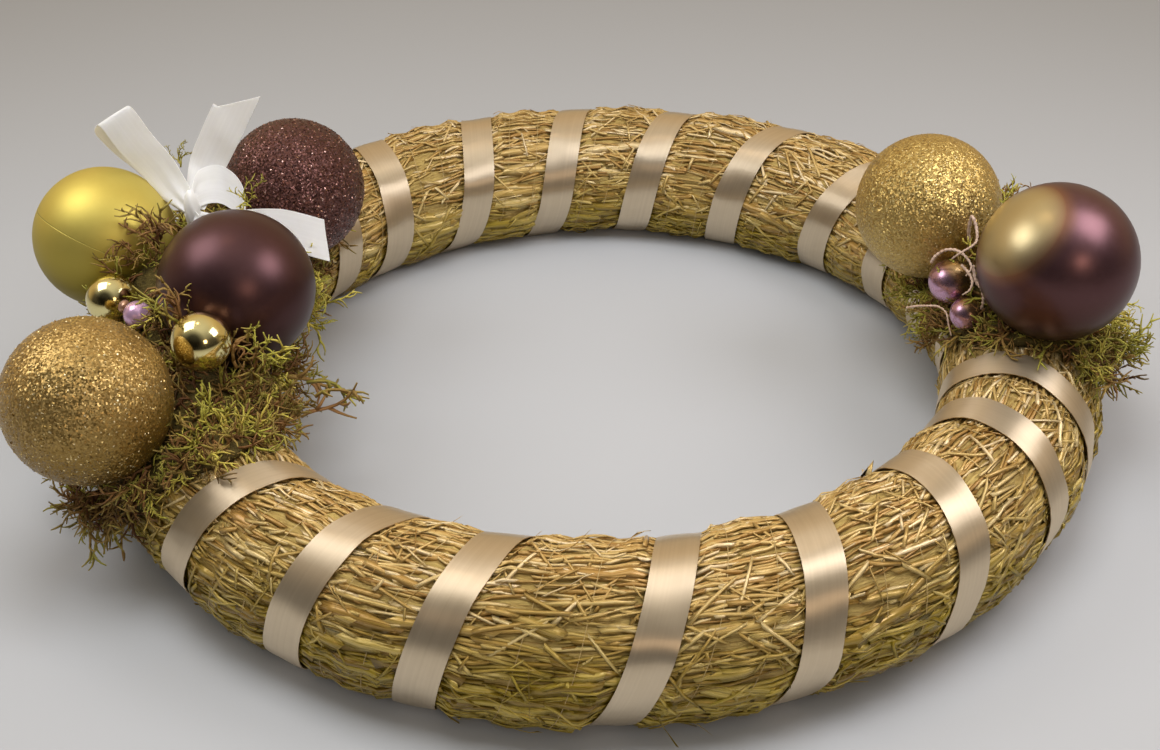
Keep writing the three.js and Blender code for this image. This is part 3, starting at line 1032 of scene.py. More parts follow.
def unit_stalk(name, sections, height, outline):
    """A stalk one unit long and wide, closed at both ends: its cross-section is a triangle of this height,
    and outline gives its width along it."""
    profile = [(-0.5, 0), (0, height), (0.5, 0)]
    sides = len(profile)
    vertices = np.array([
        (t - 0.5 + SKEWED_CUT * across * (2 * t - 1) ** 3, across * outline(t), up * outline(t))
        for t in np.linspace(0, 1, sections)
        for across, up in profile
    ])
    faces = [
        (sides * r + k, sides * (r + 1) + k, sides * (r + 1) + (k + 1) % sides, sides * r + (k + 1) % sides)
        for r in range(sections - 1)
        for k in range(sides)
    ]
    last = sides * (sections - 1)
    faces += [tuple(range(sides)), tuple(range(last, last + sides))[::-1]]
    stalk = mesh_object(name, vertices, faces)
    store(stalk.data, "rise", "FLOAT", vertices[:, 2])
    store(stalk.data, "end", "FLOAT", 2 * vertices[:, 0])
    store(stalk.data, "grain", "FLOAT_VECTOR", vertices)
    return stalk


# The kind of stalk in each layer, and how it is laid: density is for each square metre, wander is how far
# stalks stray from the ring's own direction, lay is their height and lift how far their tips may stand up.
STRAW_LAYERS = {
    "straw_laid": (
        "stalk",
        dict(density=36000.0, seed=11, length_min=12 * MM, length_max=32 * MM, width_min=1.1 * MM,
             width_max=2.5 * MM, wander=0.22, lay_min=0.2 * MM, lay_max=1.0 * MM, lift=0.6 * MM),
    ),
    "straw_blades": (
        "blade",
        dict(density=16000.0, seed=37, length_min=16 * MM, length_max=40 * MM, width_min=2.8 * MM,
             width_max=6.5 * MM, wander=0.3, lay_min=1.0 * MM, lay_max=1.5 * MM, lift=0.8 * MM,
             only_low=0.93),
    ),
    "straw_crossed": (
        "stalk",
        dict(density=12500.0, seed=23, length_min=8 * MM, length_max=24 * MM, width_min=0.9 * MM,
             width_max=2.1 * MM, wander=1.1, lay_min=1.0 * MM, lay_max=1.9 * MM, lift=1.5 * MM,
             shade_min=0.35),
    ),
    "straw_chips": (
        "chip",
        dict(density=11000.0, seed=41, length_min=4 * MM, length_max=13 * MM, width_min=0.8 * MM,
             width_max=2.2 * MM, wander=1.5, lay_min=1.2 * MM, lay_max=2.2 * MM, lift=2.0 * MM,
             shade_min=0.3),
    ),
    "straw_wisps": (
        "fibre",
        dict(density=2200.0, seed=59, length_min=10 * MM, length_max=34 * MM, width_min=0.35 * MM,
             width_max=0.9 * MM, wander=1.57, lay_min=1.2 * MM, lay_max=2.2 * MM, lift=12 * MM),
    ),
}


def bound_straw(materials):
    core, tree = straw_core(materials["straw_core"]), straw_laying_tree()
    stalks = {
        "stalk": unit_stalk("stalk", 5, 0.34, lambda t: 1 - 0.2 * t),
        "blade": unit_stalk("blade", 6, 0.09, lambda t: 0.75 + t * (1 - t)),
        "chip": unit_stalk("chip", 3, 0.2, lambda t: 1 - 0.3 * t),
        "fibre": unit_stalk("fibre", 7, 0.6, lambda t: 1 - 0.7 * t),
    }
    pieces = [
        grown_on(core, name, tree, stalk=stalks[kind], straw=materials["straw"], **laying)
        for name, (kind, laying) in STRAW_LAYERS.items()
    ]
    for stalk in stalks.values():
        dispose(stalk)
    hand_over(core, "straw", "straw_ring")
    for piece in pieces:
        hand_over(piece, "straw")


# ---- ribbons and thread ---------------------------------------------------------------------------------

SHARP_EDGE = math.radians(50)


def band(name, centres, sides, widths, thickness, cells, cup):
    """A closed band of cloth: centres are the points along its middle, sides the unit vectors across it.
    cup lifts it off its middle surface, from the share across it and the row. Its UV map holds the share
    across and the metres along."""
    centres, sides = np.asarray(centres, float), np.asarray(sides, float)
    tangents = np.gradient(centres, axis=0)
    outwards = np.cross(sides, tangents)
    outwards /= np.linalg.norm(outwards, axis=1)[:, None]
    shares = np.linspace(-0.5, 0.5, cells + 1)
    rows = np.arange(len(centres))
    lift = cup(shares[None, :], rows[:, None])
    middle = (
        centres[:, None, :]
        + sides[:, None, :] * (np.asarray(widths)[:, None] * shares[None, :])[..., None]
        + outwards[:, None, :] * lift[..., None]
    )
    half = outwards[:, None, :] * thickness / 2
    vertices = np.concatenate([(middle + half).reshape(-1, 3), (middle - half).reshape(-1, 3)])
    across, count = cells + 1, len(rows) * (cells + 1)

    def top(r, c):
        return r * across + c

    faces = []
    for r in range(len(rows) - 1):
        for c in range(cells):
            upper = (top(r, c), top(r, c + 1), top(r + 1, c + 1), top(r + 1, c))
            faces += [upper, tuple(count + corner for corner in upper[::-1])]
        for c, flip in ((0, False), (cells, True)):
            edge = (top(r, c), top(r + 1, c), count + top(r + 1, c), count + top(r, c))
            faces.append(edge[::-1] if flip else edge)
    for r, flip in ((0, True), (len(rows) - 1, False)):
        for c in range(cells):
            edge = (top(r, c), top(r, c + 1), count + top(r, c + 1), count + top(r, c))
            faces.append(edge[::-1] if flip else edge)
    obj = mesh_object(name, vertices, faces)
    run = run_of(step_lengths(centres))
    flat = np.stack(np.broadcast_arrays(shares[None, :], run[:, None]), -1).reshape(-1, 2)
    uv = obj.data.uv_layers.new(name="cloth")
    loops = np.empty(len(obj.data.loops), int)
    obj.data.loops.foreach_get("vertex_index", loops)
    uv.data.foreach_set("uv", np.tile(flat, (2, 1))[loops].ravel())
    outward_faces(obj.data)
    obj.data.set_sharp_from_angle(angle=SHARP_EDGE)
    return obj


def waves(place_along, *sizes):
    """Gentle unevenness along a length: sizes are pairs of wavelength and height."""
    return sum(
        height * np.sin(2 * math.pi * place_along / length + 1.7 * number)
        for number, (length, height) in enumerate(sizes)
    )


RIBBON_STEPS = 44  # for each turn
RIBBON_CELLS = 8  # across it
RIBBON_END_GAP = 1 / 64  # of a turn
RIBBON_FLOOR = 0.7 * MM


def wound_ribbon(material):
    turns = np.linspace(
        FIRST_TURN + RIBBON_END_GAP,
        FIRST_TURN + len(TURNS) - RIBBON_END_GAP,
        RIBBON_STEPS * len(TURNS),
    )
    around = 90 + 360 * (turns - np.floor(turns))
    run = turns * RIBBON_LENGTH / len(TURNS)
    lift = waves(run, (31 * MM, 0.2 * MM), (47 * MM, 0.3 * MM), (17 * MM, 0.07 * MM))
    middle = ribbon_middle(turns)
    edge = np.degrees(RIBBON_WIDTH / 2 / (RING_RADIUS + TUBE_RADIUS * np.cos(np.radians(around))))
    centres = ring_points(middle, around, RIBBON_RADIUS + lift)
    left = ring_points(middle - edge, around, RIBBON_RADIUS + lift)
    right = ring_points(middle + edge, around, RIBBON_RADIUS + lift)
    for points in (centres, left, right):
        raise_to(points, RIBBON_FLOOR)
    sides = (right - left) / np.linalg.norm(right - left, axis=1)[:, None]

    def cup(share, row):
        wrinkle = waves(run[row] + 0.02 * share, (37 * MM, 0.3 * MM), (23 * MM, 0.18 * MM))
        return 0.5 * MM * (0.25 - 3 * share**4) + wrinkle * (0.4 + share)

    widths = np.full(len(turns), RIBBON_WIDTH)
    ribbon = band("champagne_ribbon", centres, sides, widths, RIBBON_THICKNESS, RIBBON_CELLS, cup)
    hand_over(dress(ribbon, material), "champagne_satin", "satin_ribbon")


def tube(path, radius, sides, closed=False):
    """A round tube along a path, as (vertices, faces). Its ends are capped unless it closes; the radius may
    change along it."""
    path = np.asarray(path, float)
    radii = np.broadcast_to(np.asarray(radius, float), len(path))
    tangents = np.roll(path, -1, 0) - np.roll(path, 1, 0) if closed else np.gradient(path, axis=0)
    tangents /= np.linalg.norm(tangents, axis=1)[:, None]
    side = np.cross(tangents[0], (0.3, 0.5, 0.8))
    frames = []
    for tangent in tangents:
        side = side - tangent * (side @ tangent)
        side = side / np.linalg.norm(side)
        frames.append((side, np.cross(tangent, side)))
    turns = 2 * math.pi * np.arange(sides) / sides
    rings = [
        point + r * (np.cos(turns)[:, None] * u + np.sin(turns)[:, None] * v)
        for point, r, (u, v) in zip(path, radii, frames)
    ]
    count = len(path)

    def index(r, k):
        return r % count * sides + k % sides

    faces = [
        (index(r, k), index(r, k + 1), index(r + 1, k + 1), index(r + 1, k))
        for r in range(count if closed else count - 1)
        for k in range(sides)
    ]
    if not closed:
        faces += [tuple(range(sides))[::-1], tuple(range((count - 1) * sides, count * sides))]
    return np.concatenate(rings), faces


THREAD_RADIUS = 0.14 * MM
THREAD_STEPS = 32  # for each turn
THREAD_HEIGHT = 1.3 * MM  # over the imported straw


def binding_thread(material):
    """Each run of the thread keeps its place between two turns of ribbon, so after a lap it meets itself."""
    loops = []
    for number, share in enumerate(THREADS):
        steps = np.arange(len(TURNS) * THREAD_STEPS)
        turn, around = steps // THREAD_STEPS, -90 + 360 * (steps % THREAD_STEPS) / THREAD_STEPS
        wander = 0.035 * np.sin(steps / 9.7 + number) + 0.02 * np.sin(steps / 3.1)
        along, pitch = between_turns(turn, share + wander, around)
        swell, pinch = straw_swell(share + wander, pitch)
        height = THREAD_HEIGHT + waves(steps, (5.3, 0.15 * MM), (11.0, 0.15 * MM))
        points = ring_points(along, around, core_radius(along, around, swell, pinch) + height)
        raise_to(points, FLOOR_CLEARANCE + THREAD_RADIUS)
        loops.append(tube(points, THREAD_RADIUS, 4, closed=True))
    thread = merged("binding_thread", loops)
    hand_over(dress(thread, material), "straw")


# ---- moss -----------------------------------------------------------------------------------------------

MOSS_INNER = 31.7 * MM  # radius at which the beds rest on the straw
MOSS_FULL = 33.4 * MM  # radius from which a bed's thickness is counted
MOSS_EDGE = 0.8 * MM
MOSS_CLEARANCE = 0.15 * MM  # between its strands and the baubles
MOSS_CORNER = 0.4  # how far a bed's corners are drawn in: 0 is square, 1 is an oval
BED_CELLS = (52, 44)
BED_ROUGHNESS = 1.6 * MM
BED_ROUGH_FROM = 4 * MM  # the least thickness at which a bed is rough
BED_THINNEST = 0.5 * MM
BED_CLEARANCE = 0.4 * MM  # between a bed and the baubles
SINKING_STEPS = 40
FRINGE_START, FRINGE_BLEND = 0.8, 0.15  # shares of the way from a bed's middle to its edge
MOSS_BEDS = {
    "moss_left": {
        "along": (139, 221),
        "around": (-22, 178),
        "thickness": 4.5 * MM,
        "density_sprigs": 52000.0,  # for each square metre
        "density_fringe": 20000.0,
        # along, around, height, and spread in both
        "heaps": [(184, 86, 17 * MM, 9, 24), (208, 100, 3 * MM, 6, 16), (202, 148, 4 * MM, 14, 20),
                  (212, 20, 4 * MM, 6, 18)],
    },
    "moss_right": {
        "along": (-17, 25),
        "around": (4, 156),
        "thickness": 4 * MM,
        "density_sprigs": 60000.0,
        "density_fringe": 26000.0,
        "heaps": [(-3, 103, 15 * MM, 5, 16)],
    },
}


def bed_place(bed, x, y):
    """Angles along and around of a bed's point: x and y run from -1 to 1 over the bed."""
    ragged = 1 + 0.03 * np.sin(7 * x + 5 * y) * np.maximum(abs(x), abs(y)) ** 4
    share = 0.5 + 0.5 * x * np.sqrt(1 - MOSS_CORNER * y * y) * ragged
    other = 0.5 + 0.5 * y * np.sqrt(1 - MOSS_CORNER * x * x) * ragged
    (start, end), (low, high) = bed["along"], bed["around"]
    return start + share * (end - start), low + other * (high - low)


def bed_thickness(bed, x, y):
    along, around = bed_place(bed, x, y)
    dome = np.maximum((1 - x * x) * (1 - y * y), 0) ** 0.4
    lumps = 0.9 + 0.12 * np.sin(10 * x + 2 * y) + 0.1 * np.cos(8 * y - 4 * x)
    full = (bed["thickness"] - MOSS_EDGE) * lumps
    for at, over, height, wide, deep in bed["heaps"]:
        full = full + height * np.exp(-(((along - at) / wide) ** 2) - ((around - over) / deep) ** 2)
    return MOSS_EDGE + full * dome


def depth_in_balls(points):
    """How deep each point lies inside the nearest bauble: below zero outside them all."""
    depths = [
        radius - np.linalg.norm(points - np.array(centre), axis=-1) for centre, radius in BALLS.values()
    ]
    return np.max(depths, axis=0)


def kept_out_of_balls(points, clearance):
    """The points, with each one that lies in a bauble moved straight out of it."""
    points = points.copy()
    for centre, radius in BALLS.values():
        away = points - np.array(centre)
        distance = np.maximum(np.linalg.norm(away, axis=-1), 1e-6)
        inside = distance < radius + clearance
        points[inside] = np.array(centre) + away[inside] / distance[inside, None] * (radius + clearance)
    return points


def moss_bed(node, bed, material):
    ni, nj = BED_CELLS
    x, y = np.meshgrid(np.linspace(-1, 1, ni + 1), np.linspace(-1, 1, nj + 1), indexing="ij")
    along, around = bed_place(bed, x, y)
    base = ring_points(along, around, MOSS_INNER)
    outward = outward_way(along, around)
    tops = MOSS_FULL - MOSS_INNER + bed_thickness(bed, x, y)
    rough = np.array([
        noise.noise(Vector(p) * 260) + 0.6 * noise.noise(Vector(p) * 700) for p in base.reshape(-1, 3)
    ])
    tops = tops + BED_ROUGHNESS * rough.reshape(tops.shape) * (tops > BED_ROUGH_FROM)
    for share in np.linspace(0, 1, SINKING_STEPS):  # sink each point until it is clear of the baubles
        height = tops * (1 - share)
        deep = depth_in_balls(base + outward * tops[..., None]) > -BED_CLEARANCE
        tops = np.where(deep, np.maximum(height, BED_THINNEST), tops)
    surface = base + outward * tops[..., None]
    for layer in (base, surface):
        raise_to(layer, FLOOR_CLEARANCE)
    columns, count = nj + 1, (ni + 1) * (nj + 1)
    i, j = np.meshgrid(np.arange(ni), np.arange(nj), indexing="ij")
    corners = [(0, 0), (1, 0), (1, 1), (0, 1)]
    quad = np.stack([(i + di) * columns + j + dj for di, dj in corners], -1).reshape(-1, 4)
    rim = [(a * columns, (a + 1) * columns) for a in range(ni)]
    rim += [(ni * columns + b, ni * columns + b + 1) for b in range(nj)]
    rim += [((a + 1) * columns + nj, a * columns + nj) for a in reversed(range(ni))]
    rim += [(b + 1, b) for b in reversed(range(nj))]
    walls = [(a, b, count + b, count + a) for a, b in rim]
    faces = np.concatenate([quad[:, ::-1], quad + count, np.array(walls)])
    obj = mesh_object(node + "_bed", np.stack([base, surface]), faces)
    outward_faces(obj.data)
    clear = np.clip(-depth_in_balls(surface) / MM - 1.0, 0, 1)
    at_edge = smooth_step((np.maximum(abs(x), abs(y)) - FRINGE_START) / FRINGE_BLEND)
    store(obj.data, "growth", "FLOAT", np.stack([0 * clear, clear]))
    store(obj.data, "fringe", "FLOAT", np.stack([0 * clear, clear * at_edge]))
    store(obj.data, "outward", "FLOAT_VECTOR", np.stack([outward, outward]))
    return dress(obj, material)


STEM_STEPS = 7
SHOOT_STEPS = 3
STEM_THICKNESS = 0.034  # radii, as shares of the sprig's length
SHOOT_THICKNESS = 0.029
STEM_CURL = 0.42
SHOOT_CURL = 0.55
SHOOTS = 5  # on each sprig
SPRIG_KINDS = 8


def curling_path(start, way, length, steps, curl, random):
    """A path that keeps turning, and slowly changes the way that it turns."""
    points, way = [np.array(start, float)], np.array(way) / np.linalg.norm(way)
    bend = random.normal(size=3)
    for _ in range(steps):
        points.append(points[-1] + way * length / steps)
        way = way + curl * bend / math.sqrt(3)
        way /= np.linalg.norm(way)
        bend = bend + 0.7 * random.normal(size=3)
    return np.array(points)


def sprig_parts(random):
    """A curling stem with curling side shoots, one unit long: (points, faces) pairs."""
    t = np.linspace(0, 1, STEM_STEPS + 1)
    stem = curling_path((0, 0, 0), (1, 0, 0), 1.0, STEM_STEPS, STEM_CURL, random)
    parts = [tube(stem, STEM_THICKNESS * (1.1 - 0.7 * t), 3)]
    s = np.linspace(0, 1, SHOOT_STEPS + 1)
    for number in range(SHOOTS):
        place_on = 1.0 + (STEM_STEPS - 1.2) * number / SHOOTS
        k = int(place_on)
        foot = stem[k] + (place_on - k) * (stem[k + 1] - stem[k])
        ahead = (stem[k + 1] - stem[k]) * STEM_STEPS
        aside = np.cross(ahead, random.normal(size=3))
        way = ahead + aside / np.linalg.norm(aside)
        length = random.uniform(0.2, 0.5) * (1.1 - 0.1 * number)
        shoot = curling_path(foot, way, length, SHOOT_STEPS, SHOOT_CURL, random)
        parts.append(tube(shoot, SHOOT_THICKNESS * (1.15 - 0.7 * s), 3))
    return parts


def sprigs():
    """The different sprigs, all with the same number of points, in a collection of their own."""
    family = bpy.data.collections.new("sprigs")
    bpy.context.scene.collection.children.link(family)
    for kind in range(SPRIG_KINDS):
        sprig = merged(f"sprig_{kind}", sprig_parts(np.random.default_rng(kind)))
        outward_faces(sprig.data)
        store(sprig.data, "grain", "FLOAT_VECTOR", points_of(sprig.data))
        bpy.context.scene.collection.objects.unlink(sprig)
        family.objects.link(sprig)
    return family


def clear_of_all(mesh):
    """Moves the mesh's points out of the baubles and up off the table."""
    points = kept_out_of_balls(points_of(mesh), MOSS_CLEARANCE)
    raise_to(points, FLOOR_CLEARANCE)
    set_points(mesh, points)


def moss(materials):
    """Both beds with their sprigs, a longer fringe on each bed's edge, and the loose tufts."""
    family, tree = sprigs(), moss_growing_tree()
    carpet = dict(where="growth", seed=3, size_min=10 * MM, size_max=21 * MM, tilt_min=-0.15, tilt_max=0.6)
    fringe = dict(where="fringe", seed=7, size_min=11 * MM, size_max=22 * MM, tilt_min=-0.2, tilt_max=0.6)
    for node, sizes in MOSS_BEDS.items():
        bed = moss_bed(node, sizes, materials["moss_bed"])
        hand_over(bed, "moss", node)
        for name, growth in (("_sprigs", carpet), ("_fringe", fringe)):
            piece = grown_on(bed, node + name, tree, sprigs=family, moss=materials["moss"],
                             density=sizes["density" + name], **growth)
            clear_of_all(piece.data)
            hand_over(piece, "moss")
    loose_tufts(materials["moss"])
    for sprig in list(family.objects):
        dispose(sprig)
    bpy.data.collections.remove(family)


# Along, around, distance from the tube's middle in millimetres, the way that the tuft points, how many sprigs
# it has, their length in millimetres, and their least and greatest shade, from 0, brown, to 1, green.
TUFTS = [
    (172, 92, 78, (0, 0.1, 1), 5, 11, 0.6, 1.0),
    (176.5, 113, 76, (0.2, -0.3, 0.8), 6, 13, 0.6, 1.0),
    (182, 85, 62, (-0.3, -0.3, 1), 34, 18, 0.0, 0.5),
    (185, 80, 60, (-0.7, -0.4, 0.6), 16, 14, 0.0, 0.6),
    (203, 94, 60, (0.1, -0.1, 1), 18, 20, 0.1, 0.8),
    (207, 101, 58, (0.2, 0, 1), 16, 20, 0.2, 0.9),
    (211, 115, 52, (0.5, 0, 1), 14, 17, 0.3, 1.0),
    (186, 144, 66, (1, -0.1, -0.2), 14, 14, 0.7, 1.0),
    (212, 154, 50, (1, 0.1, 0.1), 2, 24, 0.3, 0.7),
    (184.5, 71, 54, (-0.5, -0.6, 0.6), 22, 14, 0.0, 0.8),
    (187, 60, 42, (-0.6, -0.2, 0.6), 12, 13, 0.1, 0.9),
    (195.5, 93, 48, (0.1, -0.6, 0.8), 22, 15, 0.0, 0.6),
    (203, 110, 47, (0.3, -0.6, 0.7), 26, 19, 0.1, 0.8),
    (182, 140, 60, (1, -0.2, -0.2), 24, 16, 0.6, 1.0),
    (185, 150, 56, (1, -0.1, -0.7), 24, 16, 0.6, 1.0),
    (191, 156, 46, (1, -0.1, -0.5), 16, 16, 0.3, 1.0),
    (199, 156, 42, (1, -0.1, -0.3), 14, 16, 0.2, 0.9),
    (204, 152, 46, (1, 0.1, 0.0), 3, 26, 0.5, 0.9),
    (209, 148, 38, (1, 0.1, 0.0), 12, 18, 0.0, 0.6),
    (216, 120, 33, (0.7, -0.5, 0.2), 14, 16, 0.0, 0.6),
    (219, 78, 33, (0.3, -1, 0.1), 24, 16, 0.0, 0.7),
    (216, 40, 36, (-0.3, -1, -0.2), 30, 17, 0.0, 0.9),
    (210, 12, 42, (-0.7, -0.7, -0.4), 34, 18, 0.0, 0.8),
    (200, -4, 41, (-1, -0.4, -0.5), 28, 16, 0.0, 0.5),
    (14, 142, 46, (-1, 0.2, 0.2), 22, 13, 0.6, 1.0),
    (7, 150, 40, (-1, 0, -0.2), 20, 14, 0.5, 1.0),
    (2, 152, 38, (-1, -0.2, -0.1), 24, 12, 0.5, 1.0),
    (356, 158, 36, (-1, -0.3, -0.2), 14, 11, 0.4, 1.0),
    (358, 140, 38, (-1, -0.3, 0), 14, 13, 0.3, 0.9),
    (349, 118, 34, (-0.6, -0.8, 0.3), 16, 12, 0.2, 0.9),
    (345, 88, 32, (0, -1, 0.2), 16, 11, 0.2, 0.8),
    (345, 52, 34, (0.3, -1, 0.2), 26, 14, 0.5, 1.0),
    (350, 34, 40, (0.9, -0.5, 0.6), 44, 15, 0.7, 1.0),
    (357, 25, 42, (1, 0.1, 0.2), 22, 12, 0.6, 1.0),
    (1, 93, 63, (0, 0.2, 1), 10, 8, 0.1, 0.7),
]
TUFT_SPREAD = 3 * MM
TUFT_CLEARANCE = 0.5 * MM  # between the foot of a sprig and the baubles
TUFT_FANNING = 0.45  # how far its sprigs stray from the way that it points


def turned_to(way, roll):
    """A rotation that takes X to a direction, as a matrix of rows."""
    way = np.array(way) / np.linalg.norm(way)
    side = np.cross(way, (0.12, 0.31, 0.94))
    side /= np.linalg.norm(side)
    other = np.cross(way, side)
    return np.array([way, math.cos(roll) * side + math.sin(roll) * other,
                     math.cos(roll) * other - math.sin(roll) * side])


def loose_tufts(material):
    random = np.random.default_rng(77)
    parts, shades, grains = [], [], []
    for along, around, distance, way, count, length, low, high in TUFTS:
        middle = ring_points(along, around, distance * MM)
        for _ in range(count):
            foot = middle + random.normal(size=3) * TUFT_SPREAD
            facing = np.array(way) / np.linalg.norm(way) + random.normal(size=3) * TUFT_FANNING
            turn = turned_to(facing, random.uniform(0, 2 * math.pi))
            size = length * MM * random.uniform(0.6, 1.25)
            shade = random.uniform(low, high)
            sprig = sprig_parts(random)
            if depth_in_balls(foot) > -TUFT_CLEARANCE:
                continue
            for points, faces in sprig:
                parts.append((foot + points @ turn * size, faces))
                grains.append(points)
                shades.append(np.full(len(points), shade))
    tufts = merged("moss_tufts", parts)
    outward_faces(tufts.data)
    clear_of_all(tufts.data)
    store(tufts.data, "grain", "FLOAT_VECTOR", np.concatenate(grains))
    store(tufts.data, "shade", "FLOAT", np.concatenate(shades))
    hand_over(dress(tufts, material), "moss")


# ---- baubles and beads ----------------------------------------------------------------------------------


BAUBLE_CELLS, BEAD_CELLS = (96, 48), (48, 24)  # round the poles, and from one pole to the other
LARGEST_BEAD = 15 * MM  # a radius
GLITTER_DEPTH = 0.25 * MM  # of the loose flakes over a ball's skin
GLITTER_FLAKES = {
    "glitter_ball_left": dict(density=260000.0, size_min=0.4 * MM, size_max=1.1 * MM, lean=1.1, seed=5),
    "brown_glitter_ball": dict(density=330000.0, size_min=0.6 * MM, size_max=1.3 * MM, lean=0.9, seed=6),
    "glitter_ball_right": dict(density=900000.0, size_min=0.35 * MM, size_max=0.7 * MM, lean=0.6, seed=8),
}


def globe(name, centre, radius, pole, columns, rows):
    """A ball of quads with closed poles, its poles along the given direction."""
    from_pole, around = np.meshgrid(
        math.pi * np.arange(1, rows) / rows, 2 * math.pi * np.arange(columns) / columns, indexing="ij"
    )
    rings = np.stack(
        [np.sin(from_pole) * np.cos(around), np.sin(from_pole) * np.sin(around), np.cos(from_pole)], -1
    )
    upright = np.concatenate([[(0, 0, 1)], rings.reshape(-1, 3), [(0, 0, -1)]])
    turn = Vector((0, 0, 1)).rotation_difference(Vector(pole)).to_matrix()
    directions = upright @ np.array(turn).T
    ball = mesh_object(name, np.array(centre) + radius * directions, ball_faces(rows - 1, columns))
    store(ball.data, "facing", "FLOAT_VECTOR", directions)
    return ball


def glitter_flake():
    """A square flake one unit across, closed, thin at its rim."""
    turns = np.radians(90 * np.arange(4))
    rim = np.stack([0.5 * np.cos(turns), 0.5 * np.sin(turns), 0 * turns], -1)
    vertices = np.concatenate([rim, [(0, 0, 0.12), (0, 0, -0.2)]])
    faces = [(k, (k + 1) % 4, 4) for k in range(4)] + [((k + 1) % 4, k, 5) for k in range(4)]
    return mesh_object("flake", vertices, faces, smooth=False)


def baubles(materials):
    flake, tree = glitter_flake(), glitter_scattering_tree()
    for node, (slot, finish) in BAUBLES.items():
        centre, radius = BALLS[node]
        cells = BEAD_CELLS if radius < LARGEST_BEAD else BAUBLE_CELLS
        depth = GLITTER_DEPTH if node in GLITTER_FLAKES else 0
        pole = LIME_POLE if node == "lime_ball" else (0, 1, 0)
        ball = globe(node + "_skin", centre, radius - depth, pole, *cells)
        hand_over(dress(ball, materials[finish]), slot, node)
        if node in GLITTER_FLAKES:
            loose = grown_on(ball, ball.name + "_flakes", tree, flake=flake,
                             glitter=materials[finish + "_flakes"], **GLITTER_FLAKES[node])
            hand_over(loose, slot)
    dispose(flake)


# ---- the bow --------------------------------------------------------------------------------------------

BOW_THICKNESS = 0.35 * MM
BOW_STEPS = 64  # along each strip
BOW_CELLS = 14  # across it
SLANT_REACH = 0.12  # how far from its end a slanting cut draws a strip, as a share of the strip
# Sizes and places in millimetres, from under the ring's middle.
KNOT_AT, KNOT_SIZE = (-163.5, 8.5, 94), (6, 8, 17)
STEM_AT, STEM_RADIUS, STEM_FOOT, STEM_TOP = (-164, 10), 3.2, 73.5, 92
BOW_STRIPS = [
    {
        "name": "bow_large_loop",
        "points": [(-164, 9, 94), (-171, 14, 100), (-177, 17, 109), (-184.5, 19, 118.5),
                   (-192, 21.5, 129.5), (-195, 24, 125.5), (-190.5, 26, 116), (-182, 24.5, 107.5),
                   (-173, 19, 99.5), (-164.5, 11, 93)],
        "widths": [8, 13.5, 15.5, 16, 16, 16, 15.5, 14.5, 12.5, 8],
        "across": (0.86, 0, 0.5),
        "slant": 0,
    },
    {
        "name": "bow_upright_tail",
        "points": [(-163, 13, 93), (-162, 20, 98), (-159.5, 25, 104.5), (-152, 26, 118), (-144, 27, 132)],
        "widths": [8, 12, 15, 16, 16],
        "across": (0.85, -0.25, -0.4),
        "slant": 15,
    },
    {
        "name": "bow_small_loop",
        "points": [(-163.5, 8, 95), (-161.5, 15, 99.5), (-153.5, 17.5, 100.5), (-146, 14, 97),
                   (-142.5, 8.5, 91), (-147, 1, 84.5), (-155.5, -1, 85), (-162, 4, 90)],
        "widths": [10.5, 14.5, 15.5, 16, 16, 15, 14, 10.5],
        "across": (0, 0.45, 0.89),
        "slant": 0,
    },
    {
        "name": "bow_right_tail",
        "points": [(-162, 8, 89), (-152, 6.5, 86), (-142, 5.5, 87), (-128, 5, 86.2), (-109.5, 3, 81.7)],
        "widths": [8, 11, 14.5, 16, 16],
        "across": (0.15, 0.5, 0.85),
        "slant": -5,
    },
]


def smooth_path(points, count):
    """Points on a centripetal Catmull-Rom curve through the given ones, and how far along each one is."""
    points = np.asarray(points, float)
    padded = np.stack([2 * points[0] - points[1], *points, 2 * points[-1] - points[-2]])
    knots = run_of(step_lengths(padded) ** 0.5)

    def at(share):
        place_on = share * (len(points) - 1)
        k = min(int(place_on), len(points) - 2)
        t0, t1, t2, t3 = knots[k : k + 4]
        p0, p1, p2, p3 = padded[k : k + 4]
        t = t1 + (place_on - k) * (t2 - t1)
        a1 = ((t1 - t) * p0 + (t - t0) * p1) / (t1 - t0)
        a2 = ((t2 - t) * p1 + (t - t1) * p2) / (t2 - t1)
        a3 = ((t3 - t) * p2 + (t - t2) * p3) / (t3 - t2)
        b1 = ((t2 - t) * a1 + (t - t0) * a2) / (t2 - t0)
        b2 = ((t3 - t) * a2 + (t - t1) * a3) / (t3 - t1)
        return ((t2 - t) * b1 + (t - t1) * b2) / (t2 - t1)

    shares = np.linspace(0, 1, count)
    return np.array([at(share) for share in shares]), shares


def bow_strip(strip, material):
    centres, shares = smooth_path(from_ring(strip["points"]), BOW_STEPS + 1)
    widths = np.interp(shares, np.linspace(0, 1, len(strip["widths"])), strip["widths"]) * MM
    side = np.array(strip["across"]) / np.linalg.norm(strip["across"])
    narrow = 1 - widths / widths.max()

    def cup(share, row):
        gathers = 1.3 * MM * narrow[row] * np.sin(4.6 * math.pi * share + 0.5)
        return gathers + 0.5 * MM * (0.25 - share**2) * 2 + 0.12 * MM * np.sin(0.4 * row + 3 * share)

    sides = np.tile(side, (BOW_STEPS + 1, 1))
    satin = band(strip["name"], centres, sides, widths, BOW_THICKNESS, BOW_CELLS, cup)
    if strip["slant"]:
        slant_end(satin.data, centres, side, strip["slant"] * MM, widths[-1])
    hand_over(dress(satin, material), "white_satin")


